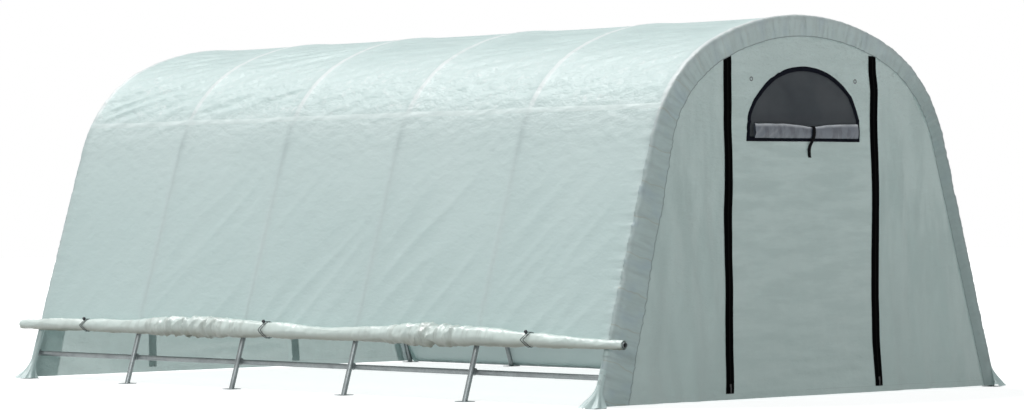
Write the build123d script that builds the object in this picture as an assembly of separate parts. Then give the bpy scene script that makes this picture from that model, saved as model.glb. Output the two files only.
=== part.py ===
"""Polytunnel greenhouse, 3.66 m wide, 6.1 m long between its end bows and 2.44 m high.

A bolted frame of round steel tube carries a fabric cover. Six bows, each a crown tube plugged
onto two bent shoulder tubes, stand on leaning legs and foot plates. Five lines of rails join
them. The cover is three sheets, welded along the shoulders, and its two ends turn over the end
bows as a flat band. Each end wall is fabric too, with a zipped door panel that has a half-moon
screen window. The left wall is rolled up on a tube and tied, so that air comes in along the
ground. The right wall is rolled down.

Frame: millimetres, +Z up, +X to the right seen from the front, the front end at -Y, and the
origin on the ground at the middle of the plan.
"""

import math
import os

from build123d import *

# Overall sizes of the cover, outside to outside
WIDTH = 3660.0  # at the ground
HEIGHT = 2440.0  # at the ridge
BAY = 1220.0  # from one bow to the next
BAYS = 5

# Shape of a bow, given on the cover's outer face
LEG_LEAN = 16.8  # degrees from upright
BEND_DROP = 785.0  # from the ridge down to where the straight side ends
SHOULDER_TURN = 48.2  # degrees that the shoulder turns before the flatter crown

# Frame tube
TUBE_OD = 35.0
TUBE_WALL = 1.2
SWAGE_LENGTH = 60.0  # narrowed end that plugs into the next tube
SWAGE_PLAY = 0.2  # radial clearance of that end
SWAGE_TAPER = 6.0
BOW_TAIL = 200.0  # straight end of a shoulder tube below its bend
TUBE_SPARE = 40.0  # drawn past the ground, then cut off level

# Fabric
SHEET = 3.0
LAY_GAP = 0.5  # between a sheet and the tube it lies on
LAP_GAP = 0.3  # between two layers of fabric
SEAM_DROP = 590.0  # from the ridge down to the welded shoulder seam, on the outer face
SEAM_WIDTH = 40.0
SEAM_RISE = 1.5
BAND_WIDTH = 145.0  # cover turned over the end bow
SKIRT_CLEARANCE = 10.0  # hems end this far above the ground

# Rails and the saddles that seat them on the bows
BASE_RAIL_HEIGHT = 182.0
RAIL_JOINT_OFFSET = 45.0  # from a bow to the rail joint beside it
SADDLE_WEB = 4.0  # between the bow and the rail
SADDLE_LENGTH = 46.0  # along the bow
SADDLE_EDGE = 0.5  # how far it stays inside the bow's sides
SADDLE_WRAP = 7.0  # how far a saddle reaches round each tube
SADDLE_PLAY = 0.5
SADDLE_CORNER = 6.0

# Foot plates
FOOT_SIZE = 100.0
FOOT_PLATE = 4.0
FOOT_CORNER = 12.0
STUB_LENGTH = 60.0
STUB_PLAY = 0.4
ANCHOR_HOLE = 11.0
ANCHOR_SPACING = 72.0

# End walls
DOOR_WIDTH = 1350.0  # between the middles of the zips
ZIP_WIDTH = 70.0
ZIP_THICKNESS = 2.0
ZIP_BOTTOM = 50.0
PANEL_JOINT = 1.0  # between the door panel and the side panels, behind the zip
WINDOW_WIDTH = 1040.0
WINDOW_HEIGHT = 480.0
WINDOW_DROP = 330.0  # from the ridge down to the top of the window
WINDOW_SIDE = 70.0  # straight part of its sides, above the sill
BINDING_WIDTH = 26.0
BINDING_THICKNESS = 3.0
SCREEN = 1.0
SCREEN_LAP = 15.0
FLAP_HEIGHT = 112.0
FLAP_DEPTH = 26.0
FLAP_END_GAP = 30.0  # between the end of the rolled flap and the window's edge
STRAP_WIDTH = 28.0
STRAP_THICKNESS = 2.0
STRAP_DROP = 105.0  # loose end below the window sill
STRAP_OFFSET = 40.0
GROMMET_OD = 26.0
GROMMET_HOLE = 12.0
GROMMET_X = 480.0
GROMMET_DROP = 418.0  # from the ridge

# Side walls
ROLL_BOTTOM = 360.0  # underside of the rolled-up left wall
ROLL_OVERHANG = 195.0  # roll tube past the end bow
ROLL_SEAT = 10.5  # fabric round the tube where the roll rests on the wall
ROLL_RISE = 0.8  # share of any further thickness that goes up, not down
TIE_CORD = 5.0
TIE_BALL = 24.0
TIE_BALL_ANGLE = 60.0  # where the ball sits on the roll, up from level
TIE_SINK = 1.0
TIE_END_GAP = 4.0  # the cord goes through the wall this far from its face
TIE_GAP = 0.4
POCKET_HEM = 3.5  # fabric round the right wall's tube
POCKET_SHORTFALL = 30.0  # pocket ends this far inside the end bow
POCKET_TUBE_END = 8.0  # tube past the pocket's end

# Corner tails of the cover, spread on the ground
TAIL_REACH = 105.0  # past the cover's edge
TAIL_HEIGHT = 90.0
TAIL_DEPTH = 40.0

BEND_START = HEIGHT - BEND_DROP
SEAM_HEIGHT = HEIGHT - SEAM_DROP
WINDOW_TOP = HEIGHT - WINDOW_DROP
WINDOW_SILL = WINDOW_TOP - WINDOW_HEIGHT
WINDOW_SPRING = WINDOW_SILL + WINDOW_SIDE

TUBE_RADIUS = TUBE_OD / 2
POCKET_RADIUS = TUBE_RADIUS + POCKET_HEM
TUBE_BORE = TUBE_RADIUS - TUBE_WALL
LENGTH = BAY * BAYS
HALF_LENGTH = LENGTH / 2
BOW_STATIONS = [index * BAY - HALF_LENGTH for index in range(BAYS + 1)]
BOW_NAMES = ["front_bow"] + [f"bow_{n}" for n in range(2, BAYS + 1)] + ["back_bow"]

# Insets are measured inwards from the cover's outer face
BOW_INSET = SHEET + LAY_GAP + TUBE_RADIUS
RAIL_INSET = BOW_INSET + TUBE_OD + SADDLE_WEB

# Layers of the front end wall, as distances in front of the end bow's middle
PANEL_BACK = TUBE_RADIUS + LAP_GAP
PANEL_FRONT = PANEL_BACK + SHEET
BAND_BACK = PANEL_FRONT + LAP_GAP
BAND_FRONT = BAND_BACK + SHEET


def unit(degrees):
    """Direction in the section, measured up from the right."""
    return math.cos(math.radians(degrees)), math.sin(math.radians(degrees))


def solve_arch():
    """Radii of the shoulder and the crown that meet the legs and the ridge without a kink."""
    bend_x = WIDTH / 2 - BEND_START * math.tan(math.radians(LEG_LEAN))
    lean_c, lean_s = unit(LEG_LEAN)
    split_c, split_s = unit(LEG_LEAN + SHOULDER_TURN)
    a, b, e = split_c - lean_c, -split_c, -bend_x
    c, d, f = split_s - lean_s, 1 - split_s, HEIGHT - BEND_START
    determinant = a * d - b * c
    return (e * d - b * f) / determinant, (a * f - e * c) / determinant


SHOULDER_RADIUS, CROWN_RADIUS = solve_arch()
SPLIT = LEG_LEAN + SHOULDER_TURN
BEND_X = WIDTH / 2 - BEND_START * math.tan(math.radians(LEG_LEAN))
SHOULDER_CENTRE = (
    BEND_X - SHOULDER_RADIUS * unit(LEG_LEAN)[0],
    BEND_START - SHOULDER_RADIUS * unit(LEG_LEAN)[1],
)
CROWN_CENTRE = (0.0, HEIGHT - CROWN_RADIUS)
BOW_CROWN_RADIUS = CROWN_RADIUS - BOW_INSET
SEAM_ANGLE = math.degrees(math.asin((SEAM_HEIGHT - SHOULDER_CENTRE[1]) / SHOULDER_RADIUS))


def on_shoulder(angle, inset):
    """Point of the right shoulder, as (x, z)."""
    c, s = unit(angle)
    radius = SHOULDER_RADIUS - inset
    return SHOULDER_CENTRE[0] + radius * c, SHOULDER_CENTRE[1] + radius * s


def on_leg(height, inset):
    """Point of the right-hand leg line at a height, as (x, z)."""
    c, s = unit(LEG_LEAN)
    return (WIDTH / 2 * c - inset - height * s) / c, height


def along_leg(distance, inset):
    """Point of the right-hand leg line, a distance below the start of the bend, as (x, z)."""
    c, s = unit(LEG_LEAN)
    x, z = on_shoulder(LEG_LEAN, inset)
    return x + distance * s, z - distance * c


def at(point, y=0.0, side=1):
    """A section point (x, z) as a place in the model; side -1 is the left."""
    return Vector(side * point[0], y, point[1])


def arch_edges(inset, right_foot):
    """Edges of the arch line from the left foot over the ridge to the right foot."""
    bend = on_shoulder(LEG_LEAN, inset)
    middle = on_shoulder((LEG_LEAN + SPLIT) / 2, inset)
    split = on_shoulder(SPLIT, inset)
    return [
        Line(at(right_foot, side=-1), at(bend, side=-1)),
        ThreePointArc(at(bend, side=-1), at(middle, side=-1), at(split, side=-1)),
        ThreePointArc(at(split, side=-1), Vector(0, 0, HEIGHT - inset), at(split)),
        ThreePointArc(at(split), at(middle), at(bend)),
        Line(at(bend), at(right_foot)),
    ]


def arch_area(inset, foot_height):
    """Everything under the arch line at an inset, as a face in the section."""
    foot = on_leg(foot_height, inset)
    floor = Line(at(foot), at(foot, side=-1))
    return make_face(Wire(arch_edges(inset, foot) + [floor]).edges())


def arch_shell(outer_inset, inner_inset, foot_height, y_from, y_to):
    """A shell between two arch lines, drawn out along the building."""
    outer = extrude(arch_area(outer_inset, foot_height), y_to - y_from, dir=(0, 1, 0))
    inner = extrude(arch_area(inner_inset, foot_height), y_to - y_from, dir=(0, 1, 0))
    return Pos(0, y_from, 0) * (outer - inner)


def arch_slab(inset, foot_height, y_from, y_to):
    """The area under an arch line as a thin upright slab."""
    return Pos(0, y_from, 0) * extrude(arch_area(inset, foot_height), y_to - y_from, dir=(0, 1, 0))


def block(x_from, x_to, y_from, y_to, z_from, z_to):
    """A box between two corners."""
    box = Box(x_to - x_from, y_to - y_from, z_to - z_from)
    return Pos((x_from + x_to) / 2, (y_from + y_to) / 2, (z_from + z_to) / 2) * box


def keep_above(shape, point, angle, side):
    """Cuts a shell across its thickness at a point of the arch, and keeps what lies above."""
    c, s = unit(angle)
    plane = Plane(origin=at(point), x_dir=(0, 1, 0), z_dir=(-s, 0, c))
    if side < 0:
        plane = Plane(origin=at(point, side=-1), x_dir=(0, 1, 0), z_dir=(s, 0, c))
    return split(shape, bisect_by=plane, keep=Keep.TOP)


def keep_below(shape, point, angle, side):
    """As keep_above, but keeps what lies below and on that side of the building."""
    c, s = unit(angle)
    plane = Plane(origin=at(point, side=side), x_dir=(0, 1, 0), z_dir=(-side * s, 0, c))
    half = split(shape, bisect_by=Plane.YZ, keep=Keep.TOP if side > 0 else Keep.BOTTOM)
    return split(half, bisect_by=plane, keep=Keep.BOTTOM)


# ---- frame ---------------------------------------------------------------------------------


def tube_ring(radius, wall):
    """Section of a tube."""
    return Circle(radius) - Circle(radius - wall)


def follow(section_radius, wall, edges):
    """A tube along joined edges of the section, which start at the first one's start."""
    path = Wire([edge.edge() for edge in edges])
    first = edges[0]
    start = Plane(origin=first @ 0, x_dir=(0, 1, 0), z_dir=first % 0)
    return sweep(start * tube_ring(section_radius, wall), path=path)


def crown_arc(start, end):
    """Arc of the crown on the bow's line, between two angles."""
    points = []
    for angle in (start, (start + end) / 2, end):
        c, s = unit(angle)
        points.append(at((BOW_CROWN_RADIUS * c, CROWN_CENTRE[1] + BOW_CROWN_RADIUS * s)))
    return ThreePointArc(*points)


def make_shoulder_tube(side):
    """Bent tube from the leg joint to the crown, with a narrowed end that plugs into the crown tube."""
    bend = on_shoulder(LEG_LEAN, BOW_INSET)
    middle = on_shoulder((LEG_LEAN + SPLIT) / 2, BOW_INSET)
    collar_turn = math.degrees(SWAGE_TAPER / (SHOULDER_RADIUS - BOW_INSET))
    collar_start = on_shoulder(SPLIT - collar_turn, BOW_INSET)
    collar_middle = on_shoulder(SPLIT - collar_turn / 2, BOW_INSET)
    end = on_shoulder(SPLIT, BOW_INSET)
    straight = Line(at(along_leg(BOW_TAIL, BOW_INSET)), at(bend))
    tube = follow(TUBE_RADIUS, TUBE_WALL, [straight, ThreePointArc(at(bend), at(middle), at(end))])
    plug_radius = TUBE_BORE - SWAGE_PLAY
    collar = follow(
        TUBE_RADIUS,
        TUBE_RADIUS - plug_radius + TUBE_WALL,
        [ThreePointArc(at(collar_start), at(collar_middle), at(end))],
    )
    plug_turn = math.degrees(SWAGE_LENGTH / BOW_CROWN_RADIUS)
    plug = follow(plug_radius, TUBE_WALL, [crown_arc(SPLIT, SPLIT + plug_turn)])
    whole = tube + collar + plug
    return whole if side > 0 else mirror(whole, about=Plane.YZ)


def make_bow(y):
    """Two shoulder tubes and the crown tube that sits over their narrowed ends."""
    gap = math.degrees(LAP_GAP / BOW_CROWN_RADIUS)
    crown = follow(TUBE_RADIUS, TUBE_WALL, [crown_arc(SPLIT + gap, 180 - SPLIT - gap)])
    return [Pos(0, y, 0) * piece for piece in (make_shoulder_tube(-1), crown, make_shoulder_tube(1))]


def swaged_tube(length):
    """Straight tube along +Z from the origin, with a narrowed end past its length."""
    swage = TUBE_BORE - SWAGE_PLAY
    top = length + SWAGE_LENGTH
    outline = Polyline(
        (TUBE_BORE, 0),
        (TUBE_RADIUS, 0),
        (TUBE_RADIUS, length - SWAGE_TAPER),
        (swage, length),
        (swage, top),
        (swage - TUBE_WALL, top),
        (swage - TUBE_WALL, length),
        (TUBE_BORE, length - SWAGE_TAPER),
        close=True,
    )
    return revolve(Plane.XZ * make_face(outline), Axis.Z)


def make_leg(y, side):
    """Leg from its foot plate to the bow, with the swaged end at the top."""
    c, s = unit(LEG_LEAN)
    top = at(along_leg(BOW_TAIL, BOW_INSET), y, side)
    foot = at(on_leg(FOOT_PLATE, BOW_INSET), y, side)
    up = Vector(-side * s, 0, c)
    length = (top - foot).length + TUBE_SPARE
    place = Plane(origin=foot - up * TUBE_SPARE, x_dir=(0, 1, 0), z_dir=up)
    leg = place * swaged_tube(length - LAP_GAP)
    return split(leg, bisect_by=Plane.XY.offset(FOOT_PLATE), keep=Keep.TOP)


def make_foot(y, side):
    """Foot plate with anchor holes and the stub that the leg stands over."""
    c, s = unit(LEG_LEAN)
    foot = at(on_leg(FOOT_PLATE, BOW_INSET), y, side)
    plate = extrude(Pos(foot.X, y) * RectangleRounded(FOOT_SIZE, FOOT_SIZE, FOOT_CORNER), FOOT_PLATE)
    holes = [
        Pos(foot.X, y + step * ANCHOR_SPACING / 2, FOOT_PLATE / 2)
        * Cylinder(ANCHOR_HOLE / 2, 2 * FOOT_PLATE)
        for step in (-1, 1)
    ]
    up = Vector(-side * s, 0, c)
    place = Plane(origin=foot - up * TUBE_SPARE, x_dir=(0, 1, 0), z_dir=up)
    ring = place * tube_ring(TUBE_BORE - STUB_PLAY, 2 * TUBE_WALL)
    stub = extrude(ring, STUB_LENGTH + TUBE_SPARE)
    stub = split(stub, bisect_by=Plane.XY.offset(FOOT_PLATE), keep=Keep.TOP)
    return plate - holes + stub


def rail_sections(point, side=1):
    """One line of rail, in sections that plug together just past each inner bow."""
    joints = [y + RAIL_JOINT_OFFSET for y in BOW_STATIONS[1:-1]]
    starts = [BOW_STATIONS[0] - TUBE_RADIUS] + joints
    ends = joints + [BOW_STATIONS[-1] + TUBE_RADIUS]
    sections = []
    for start, end in zip(starts, ends):
        if end == ends[-1]:
            tube = extrude(tube_ring(TUBE_RADIUS, TUBE_WALL), end - start)
        else:
            tube = swaged_tube(end - start - LAP_GAP)
        place = Plane(origin=at(point, start, side), x_dir=(1, 0, 0), z_dir=(0, 1, 0))
        sections.append(place * tube)
    return sections


def make_saddle(bow_point, angle, y, side):
    """Block with two crossed grooves that seats a rail against a bow."""
    c, s = unit(angle)
    reach = (TUBE_OD + SADDLE_WEB) / 2  # from the block's middle to either tube's middle
    thickness = SADDLE_WEB + 2 * SADDLE_WRAP
    outline = RectangleRounded(SADDLE_LENGTH, TUBE_OD - 2 * SADDLE_EDGE, SADDLE_CORNER)
    body = extrude(outline, thickness / 2, both=True)
    groove = Cylinder(TUBE_RADIUS + SADDLE_PLAY, 2 * SADDLE_LENGTH)
    bow_groove = Pos(0, 0, reach) * (Rot(0, 90, 0) * groove)
    rail_groove = Pos(0, 0, -reach) * (Rot(90, 0, 0) * groove)
    outwards = Vector(side * c, 0, s)
    middle = at(bow_point, y, side) - outwards * reach
    place = Plane(origin=middle, x_dir=(side * s, 0, -c), z_dir=outwards)
    return place * (body - bow_groove - rail_groove)


# ---- cover ---------------------------------------------------------------------------------


def seam_tape(side):
    """Welded lap along the shoulder, lying on the outer face."""
    half = math.degrees(SEAM_WIDTH / 2 / SHOULDER_RADIUS)
    tape = arch_shell(-SEAM_RISE, 0, 0, -HALF_LENGTH, HALF_LENGTH)
    tape = keep_above(tape, on_shoulder(SEAM_ANGLE - half, 0), SEAM_ANGLE - half, side)
    return keep_below(tape, on_shoulder(SEAM_ANGLE + half, 0), SEAM_ANGLE + half, side)


def make_band():
    """Front edge of the cover: it bends round the end bow and lies flat on the end wall."""
    outer, inner = BAND_FRONT, BAND_FRONT - SHEET
    foot = on_leg(-BAND_WIDTH, 0)  # far enough below the ground for the hem to be cut level
    path = Wire([edge.edge() for edge in arch_edges(0, foot)])
    start = at(foot, side=-1)
    c, s = unit(LEG_LEAN)
    # local x runs inwards from the cover's face, and local y runs forwards
    place = Plane(origin=start, x_dir=(c, 0, -s), z_dir=(s, 0, c))
    forward = 1 if place.y_dir.Y < 0 else -1
    r = math.sqrt(0.5)
    hook = Wire(
        [
            ThreePointArc((0, 0), (outer - outer * r, forward * outer * r), (outer, forward * outer)).edge(),
            Line((outer, forward * outer), (BAND_WIDTH, forward * outer)).edge(),
            Line((BAND_WIDTH, forward * outer), (BAND_WIDTH, forward * inner)).edge(),
            Line((BAND_WIDTH, forward * inner), (outer, forward * inner)).edge(),
            ThreePointArc(
                (outer, forward * inner), (outer - inner * r, forward * inner * r), (SHEET, 0)
            ).edge(),
            Line((SHEET, 0), (0, 0)).edge(),
        ]
    )
    band = sweep(place * make_face(hook.edges()), path=path)
    band = split(band, bisect_by=Plane.XY.offset(SKIRT_CLEARANCE), keep=Keep.TOP)
    return Pos(0, -HALF_LENGTH, 0) * band


def make_tail(y_sign, side):
    """Corner of the cover, spread out on the ground beside the end bow."""
    foot_clearance = FOOT_PLATE + LAP_GAP
    top = on_leg(TAIL_HEIGHT, -LAP_GAP)
    heel = on_leg(foot_clearance, -LAP_GAP)
    toe = (WIDTH / 2 + TAIL_REACH, foot_clearance)
    wedge = make_face(Polyline(at(top, side=side), at(heel, side=side), at(toe, side=side), close=True))
    y = y_sign * HALF_LENGTH
    depth = TAIL_DEPTH
    return Pos(0, y - depth / 2, 0) * extrude(wedge, depth, dir=(0, 1, 0))


# ---- end walls -----------------------------------------------------------------------------


def window_outline(margin):
    """Half-moon outline, grown by a margin, as a face in the section."""
    half = WINDOW_WIDTH / 2 + margin
    sill = WINDOW_SILL - margin
    lower = Pos(0, (sill + WINDOW_SPRING) / 2) * Rectangle(2 * half, WINDOW_SPRING - sill)
    moon = Pos(0, WINDOW_SPRING) * Ellipse(half, WINDOW_TOP - WINDOW_SPRING + margin)
    upper = moon & (Pos(0, WINDOW_SPRING + HEIGHT / 2) * Rectangle(WIDTH, HEIGHT))
    return lower + upper


def upright(sketch, front, back):
    """Draws an upright section out between two distances in front of the front bow."""
    face = Plane.XZ * sketch
    return Pos(0, -HALF_LENGTH - back, 0) * extrude(face, front - back)


def end_wall():
    """Pieces of the front end wall, by name."""
    slab = arch_slab(BAND_FRONT, SKIRT_CLEARANCE, -HALF_LENGTH - PANEL_FRONT, -HALF_LENGTH - PANEL_BACK)
    edge = DOOR_WIDTH / 2
    around = 2 * WIDTH
    cut_left = block(-around, -edge - PANEL_JOINT / 2, -around, around, 0, around)
    cut_right = block(edge + PANEL_JOINT / 2, around, -around, around, 0, around)
    cut_door = block(-edge + PANEL_JOINT / 2, edge - PANEL_JOINT / 2, -around, around, 0, around)
    hole = upright(window_outline(-BINDING_WIDTH / 2), PANEL_FRONT + SHEET, PANEL_BACK - SHEET)
    face = PANEL_FRONT
    binding = window_outline(0) - window_outline(-BINDING_WIDTH)
    screen = window_outline(SCREEN_LAP - BINDING_WIDTH / 2)
    zip_layer = arch_slab(BAND_WIDTH + 1, ZIP_BOTTOM, -HALF_LENGTH - face - ZIP_THICKNESS, -HALF_LENGTH - face)
    zips = [
        zip_layer
        & block(x - ZIP_WIDTH / 2, x + ZIP_WIDTH / 2, -around, around, 0, around)
        for x in (-edge, edge)
    ]
    flap_back = face + BINDING_THICKNESS + LAP_GAP
    flap_half = WINDOW_WIDTH / 2 - FLAP_END_GAP
    flap_height = FLAP_HEIGHT - LAP_GAP
    flap_section = Pos(
        0, -HALF_LENGTH - flap_back - FLAP_DEPTH / 2, WINDOW_SILL + FLAP_HEIGHT / 2
    ) * Box(2 * flap_half, FLAP_DEPTH, flap_height)
    flap = fillet(flap_section.edges().filter_by(Axis.X), FLAP_DEPTH / 2 - 1)
    strap_front = flap_back + FLAP_DEPTH + LAP_GAP
    strap_top = WINDOW_SILL + FLAP_HEIGHT + LAP_GAP
    strap = block(
        STRAP_OFFSET - STRAP_WIDTH / 2,
        STRAP_OFFSET + STRAP_WIDTH / 2,
        -HALF_LENGTH - strap_front - STRAP_THICKNESS,
        -HALF_LENGTH - strap_front,
        WINDOW_SILL - STRAP_DROP,
        strap_top + STRAP_THICKNESS,
    ) + block(
        STRAP_OFFSET - STRAP_WIDTH / 2,
        STRAP_OFFSET + STRAP_WIDTH / 2,
        -HALF_LENGTH - strap_front,
        -HALF_LENGTH - face - BINDING_THICKNESS - LAP_GAP,
        strap_top,
        strap_top + STRAP_THICKNESS,
    )
    ring = Circle(GROMMET_OD / 2) - Circle(GROMMET_HOLE / 2)
    grommets = [
        upright(Pos(x, HEIGHT - GROMMET_DROP) * ring, face + ZIP_THICKNESS, face)
        for x in (-GROMMET_X, GROMMET_X)
    ]
    return {
        "left_panel": [slab & cut_left],
        "right_panel": [slab & cut_right],
        "door_panel": [(slab & cut_door) - hole],
        "door_zips": zips,
        "window_screen": [upright(screen, PANEL_BACK, PANEL_BACK - SCREEN)],
        "window_binding": [upright(binding, face + BINDING_THICKNESS, face)],
        "window_flap": [flap],
        "window_strap": [strap],
        "window_grommets": grommets,
    }


# ---- side walls ----------------------------------------------------------------------------

# Thickness of the rolled fabric over its tube along the building, from the front end: thin at
# the tube's ends, full between the ties
ROLL_SHAPE = [
    (0.0, 8.5),
    (0.06, 15.5),
    (0.13, 28.5),
    (0.21, 42.5),
    (0.28, 45.5),
    (0.36, 34.5),
    (0.44, 22.5),
    (0.54, 37.5),
    (0.63, 44.5),
    (0.71, 42.5),
    (0.80, 27.5),
    (0.93, 24.5),
    (1.0, 13.5),
]
TIE_PLACES = [0.13, 0.54, 0.87]
ROLL_FABRIC_SHORTFALL = 12.0  # the fabric ends this far inside the tube's ends


def roll_radius(share):
    """Radius of the roll at a share of its length."""
    for (start, thin), (end, thick) in zip(ROLL_SHAPE, ROLL_SHAPE[1:]):
        if share <= end:
            return TUBE_RADIUS + thin + (thick - thin) * (share - start) / (end - start)
    return TUBE_RADIUS + ROLL_SHAPE[-1][1]


def roll_length():
    return LENGTH + 2 * (ROLL_OVERHANG - ROLL_FABRIC_SHORTFALL)


def beside_wall(radius, height):
    """Middle of a round form at a height, where it lies against the wall's outer face."""
    return on_leg(height, -LAP_GAP - radius)


def tube_height():
    return ROLL_BOTTOM + TUBE_RADIUS + ROLL_SEAT


def roll_centre(radius):
    """Middle of the roll where it has a radius: what it swells by goes mostly up."""
    swell = radius - TUBE_RADIUS - ROLL_SEAT
    return beside_wall(radius, tube_height() + ROLL_RISE * swell)


def roll_place(share):
    """Middle of the roll, at a share of its length."""
    y = -roll_length() / 2 + share * roll_length()
    return at(roll_centre(roll_radius(share)), y, side=-1)


def tube_axis():
    """Middle of the left roll tube, as (x, z)."""
    return roll_centre(TUBE_RADIUS + ROLL_SEAT)


def bare_tube(point, length, side):
    """A roll tube, open at both ends."""
    ring = tube_ring(TUBE_RADIUS, TUBE_WALL)
    place = Plane(origin=at(point, -length / 2, side), x_dir=(1, 0, 0), z_dir=(0, 1, 0))
    return extrude(place * ring, length)


def make_roll():
    """The rolled wall, a soft form round its tube."""
    rings = []
    for share, _ in ROLL_SHAPE:
        place = Plane(origin=roll_place(share), x_dir=(1, 0, 0), z_dir=(0, 1, 0))
        rings.append(place * Circle(roll_radius(share)))
    roll = loft(rings, ruled=True)
    length = LENGTH + 4 * ROLL_OVERHANG
    place = Plane(origin=at(tube_axis(), -length / 2, side=-1), x_dir=(1, 0, 0), z_dir=(0, 1, 0))
    return roll - extrude(place * Circle(TUBE_RADIUS + LAP_GAP), length)


def make_tie(share):
    """Elastic tie: two turns of cord round the roll from the wall back to the wall, and a ball."""
    middle = roll_place(share)
    radius = roll_radius(share) + TIE_GAP + TIE_CORD / 2
    half = math.degrees(math.acos((roll_radius(share) - TIE_END_GAP) / radius))
    start, end = -LEG_LEAN + half, -LEG_LEAN + 360 - half
    loops = []
    for step in (-TIE_CORD, TIE_CORD):
        centre = middle + Vector(0, step, 0)
        first, halfway, last = (
            centre + Vector(radius * unit(angle)[0], 0, radius * unit(angle)[1])
            for angle in (start, (start + end) / 2, end)
        )
        arc = ThreePointArc(first, halfway, last)
        loops.append(sweep(Plane(origin=first, z_dir=arc % 0) * Circle(TIE_CORD / 2), path=arc))
    c, s = unit(TIE_BALL_ANGLE)
    ball = middle + Vector(-c, 0, s) * (radius + TIE_BALL / 2 - TIE_SINK)
    tie = loops[0] + loops[1] + Pos(*ball) * Sphere(TIE_BALL / 2)
    return tie


def wall_sheet(side, bottom):
    """Side wall from its lower edge to the shoulder seam."""
    shell = arch_shell(0, SHEET, bottom, -HALF_LENGTH, HALF_LENGTH)
    return keep_below(shell, on_shoulder(SEAM_ANGLE, 0), SEAM_ANGLE, side)


def contact_height(radius, middle):
    """Height at which a round form with its middle at a height touches the wall."""
    return middle - radius * unit(LEG_LEAN)[1]


# ---- assembly ------------------------------------------------------------------------------


def make_nodes():
    """Every node of the building, as lists of solids by name."""
    nodes = {}
    for name, y in zip(BOW_NAMES, BOW_STATIONS):
        nodes[name] = make_bow(y)
    for name, side in (("left", -1), ("right", 1)):
        nodes[f"{name}_legs"] = [make_leg(y, side) for y in BOW_STATIONS]
        nodes[f"{name}_feet"] = [make_foot(y, side) for y in BOW_STATIONS]
        seam_rail = on_shoulder(SEAM_ANGLE, RAIL_INSET)
        nodes[f"{name}_shoulder_rail"] = rail_sections(seam_rail, side)
        nodes[f"{name}_base_rail"] = rail_sections(on_leg(BASE_RAIL_HEIGHT, RAIL_INSET), side)
    nodes["ridge_rail"] = rail_sections((0, HEIGHT - RAIL_INSET))
    ridge = (0, HEIGHT - BOW_INSET)
    shoulder = on_shoulder(SEAM_ANGLE, BOW_INSET)
    saddle_c, saddle_s = unit(LEG_LEAN)
    base = on_leg(BASE_RAIL_HEIGHT, RAIL_INSET)
    base = (base[0] + (RAIL_INSET - BOW_INSET) * saddle_c, base[1] + (RAIL_INSET - BOW_INSET) * saddle_s)
    saddles = [make_saddle(ridge, 90, y, 1) for y in BOW_STATIONS]
    for side in (-1, 1):
        saddles += [make_saddle(shoulder, SEAM_ANGLE, y, side) for y in BOW_STATIONS]
        saddles += [make_saddle(base, LEG_LEAN, y, side) for y in BOW_STATIONS]
    nodes["rail_saddles"] = saddles

    roof = arch_shell(0, SHEET, 0, -HALF_LENGTH, HALF_LENGTH)
    for side in (-1, 1):
        roof = keep_above(roof, on_shoulder(SEAM_ANGLE, 0), SEAM_ANGLE, side)
    nodes["roof_sheet"] = [roof]
    left_edge = contact_height(TUBE_RADIUS + ROLL_SEAT, tube_height())
    nodes["left_wall_sheet"] = [wall_sheet(-1, left_edge)]
    pocket_height = FOOT_PLATE + LAY_GAP + POCKET_RADIUS
    nodes["right_wall_sheet"] = [wall_sheet(1, contact_height(POCKET_RADIUS, pocket_height))]
    nodes["left_seam_tape"] = [seam_tape(-1)]
    nodes["right_seam_tape"] = [seam_tape(1)]
    band = make_band()
    nodes["front_edge_band"] = [band]
    nodes["back_edge_band"] = [mirror(band, about=Plane.XZ)]
    nodes["corner_tails"] = [make_tail(y_sign, side) for y_sign in (-1, 1) for side in (-1, 1)]

    for name, pieces in end_wall().items():
        nodes[f"front_{name}"] = pieces
        nodes[f"back_{name}"] = [mirror(piece, about=Plane.XZ) for piece in pieces]

    nodes["left_roll_tube"] = [bare_tube(tube_axis(), LENGTH + 2 * ROLL_OVERHANG, -1)]
    nodes["left_rolled_wall"] = [make_roll()]
    nodes["left_roll_ties"] = [make_tie(share) for share in TIE_PLACES]
    pocket = beside_wall(POCKET_RADIUS, pocket_height)
    pocket_length = LENGTH - 2 * POCKET_SHORTFALL
    nodes["right_roll_tube"] = [bare_tube(pocket, pocket_length + 2 * POCKET_TUBE_END, 1)]
    ring = Circle(POCKET_RADIUS) - Circle(TUBE_RADIUS + LAP_GAP)
    place = Plane(origin=at(pocket, -pocket_length / 2), x_dir=(1, 0, 0), z_dir=(0, 1, 0))
    nodes["right_hem_pocket"] = [extrude(place * ring, pocket_length)]
    return nodes


def main():
    os.makedirs("parts", exist_ok=True)
    for name, pieces in make_nodes().items():
        solids = [solid for piece in pieces for solid in piece.solids()]
        shape = solids[0] if len(solids) == 1 else Compound(solids)
        export_step(shape, f"parts/{name}.step")


main()
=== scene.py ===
# %% [markdown]
# # A polytunnel greenhouse, finished piece by piece
#
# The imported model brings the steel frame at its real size: six bent bows on leaning legs, five
# lines of rail, foot plates and the tube of the rolled-up wall. This notebook gives that steel a
# finish, and makes everything that is cloth: the cover with its welded seams, the edge bands, the
# zipped end walls with their half-moon windows, and the wall that is rolled up and tied.
#
# We load the frame first. All sizes below are metres in the frame's own axes: +Z is up, the front
# end looks along -Y, and the rolled-up wall is on the left, at -X.

# %% Load the frame
import math

import bmesh
import bpy
from mathutils import Matrix, Vector, noise


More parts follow.
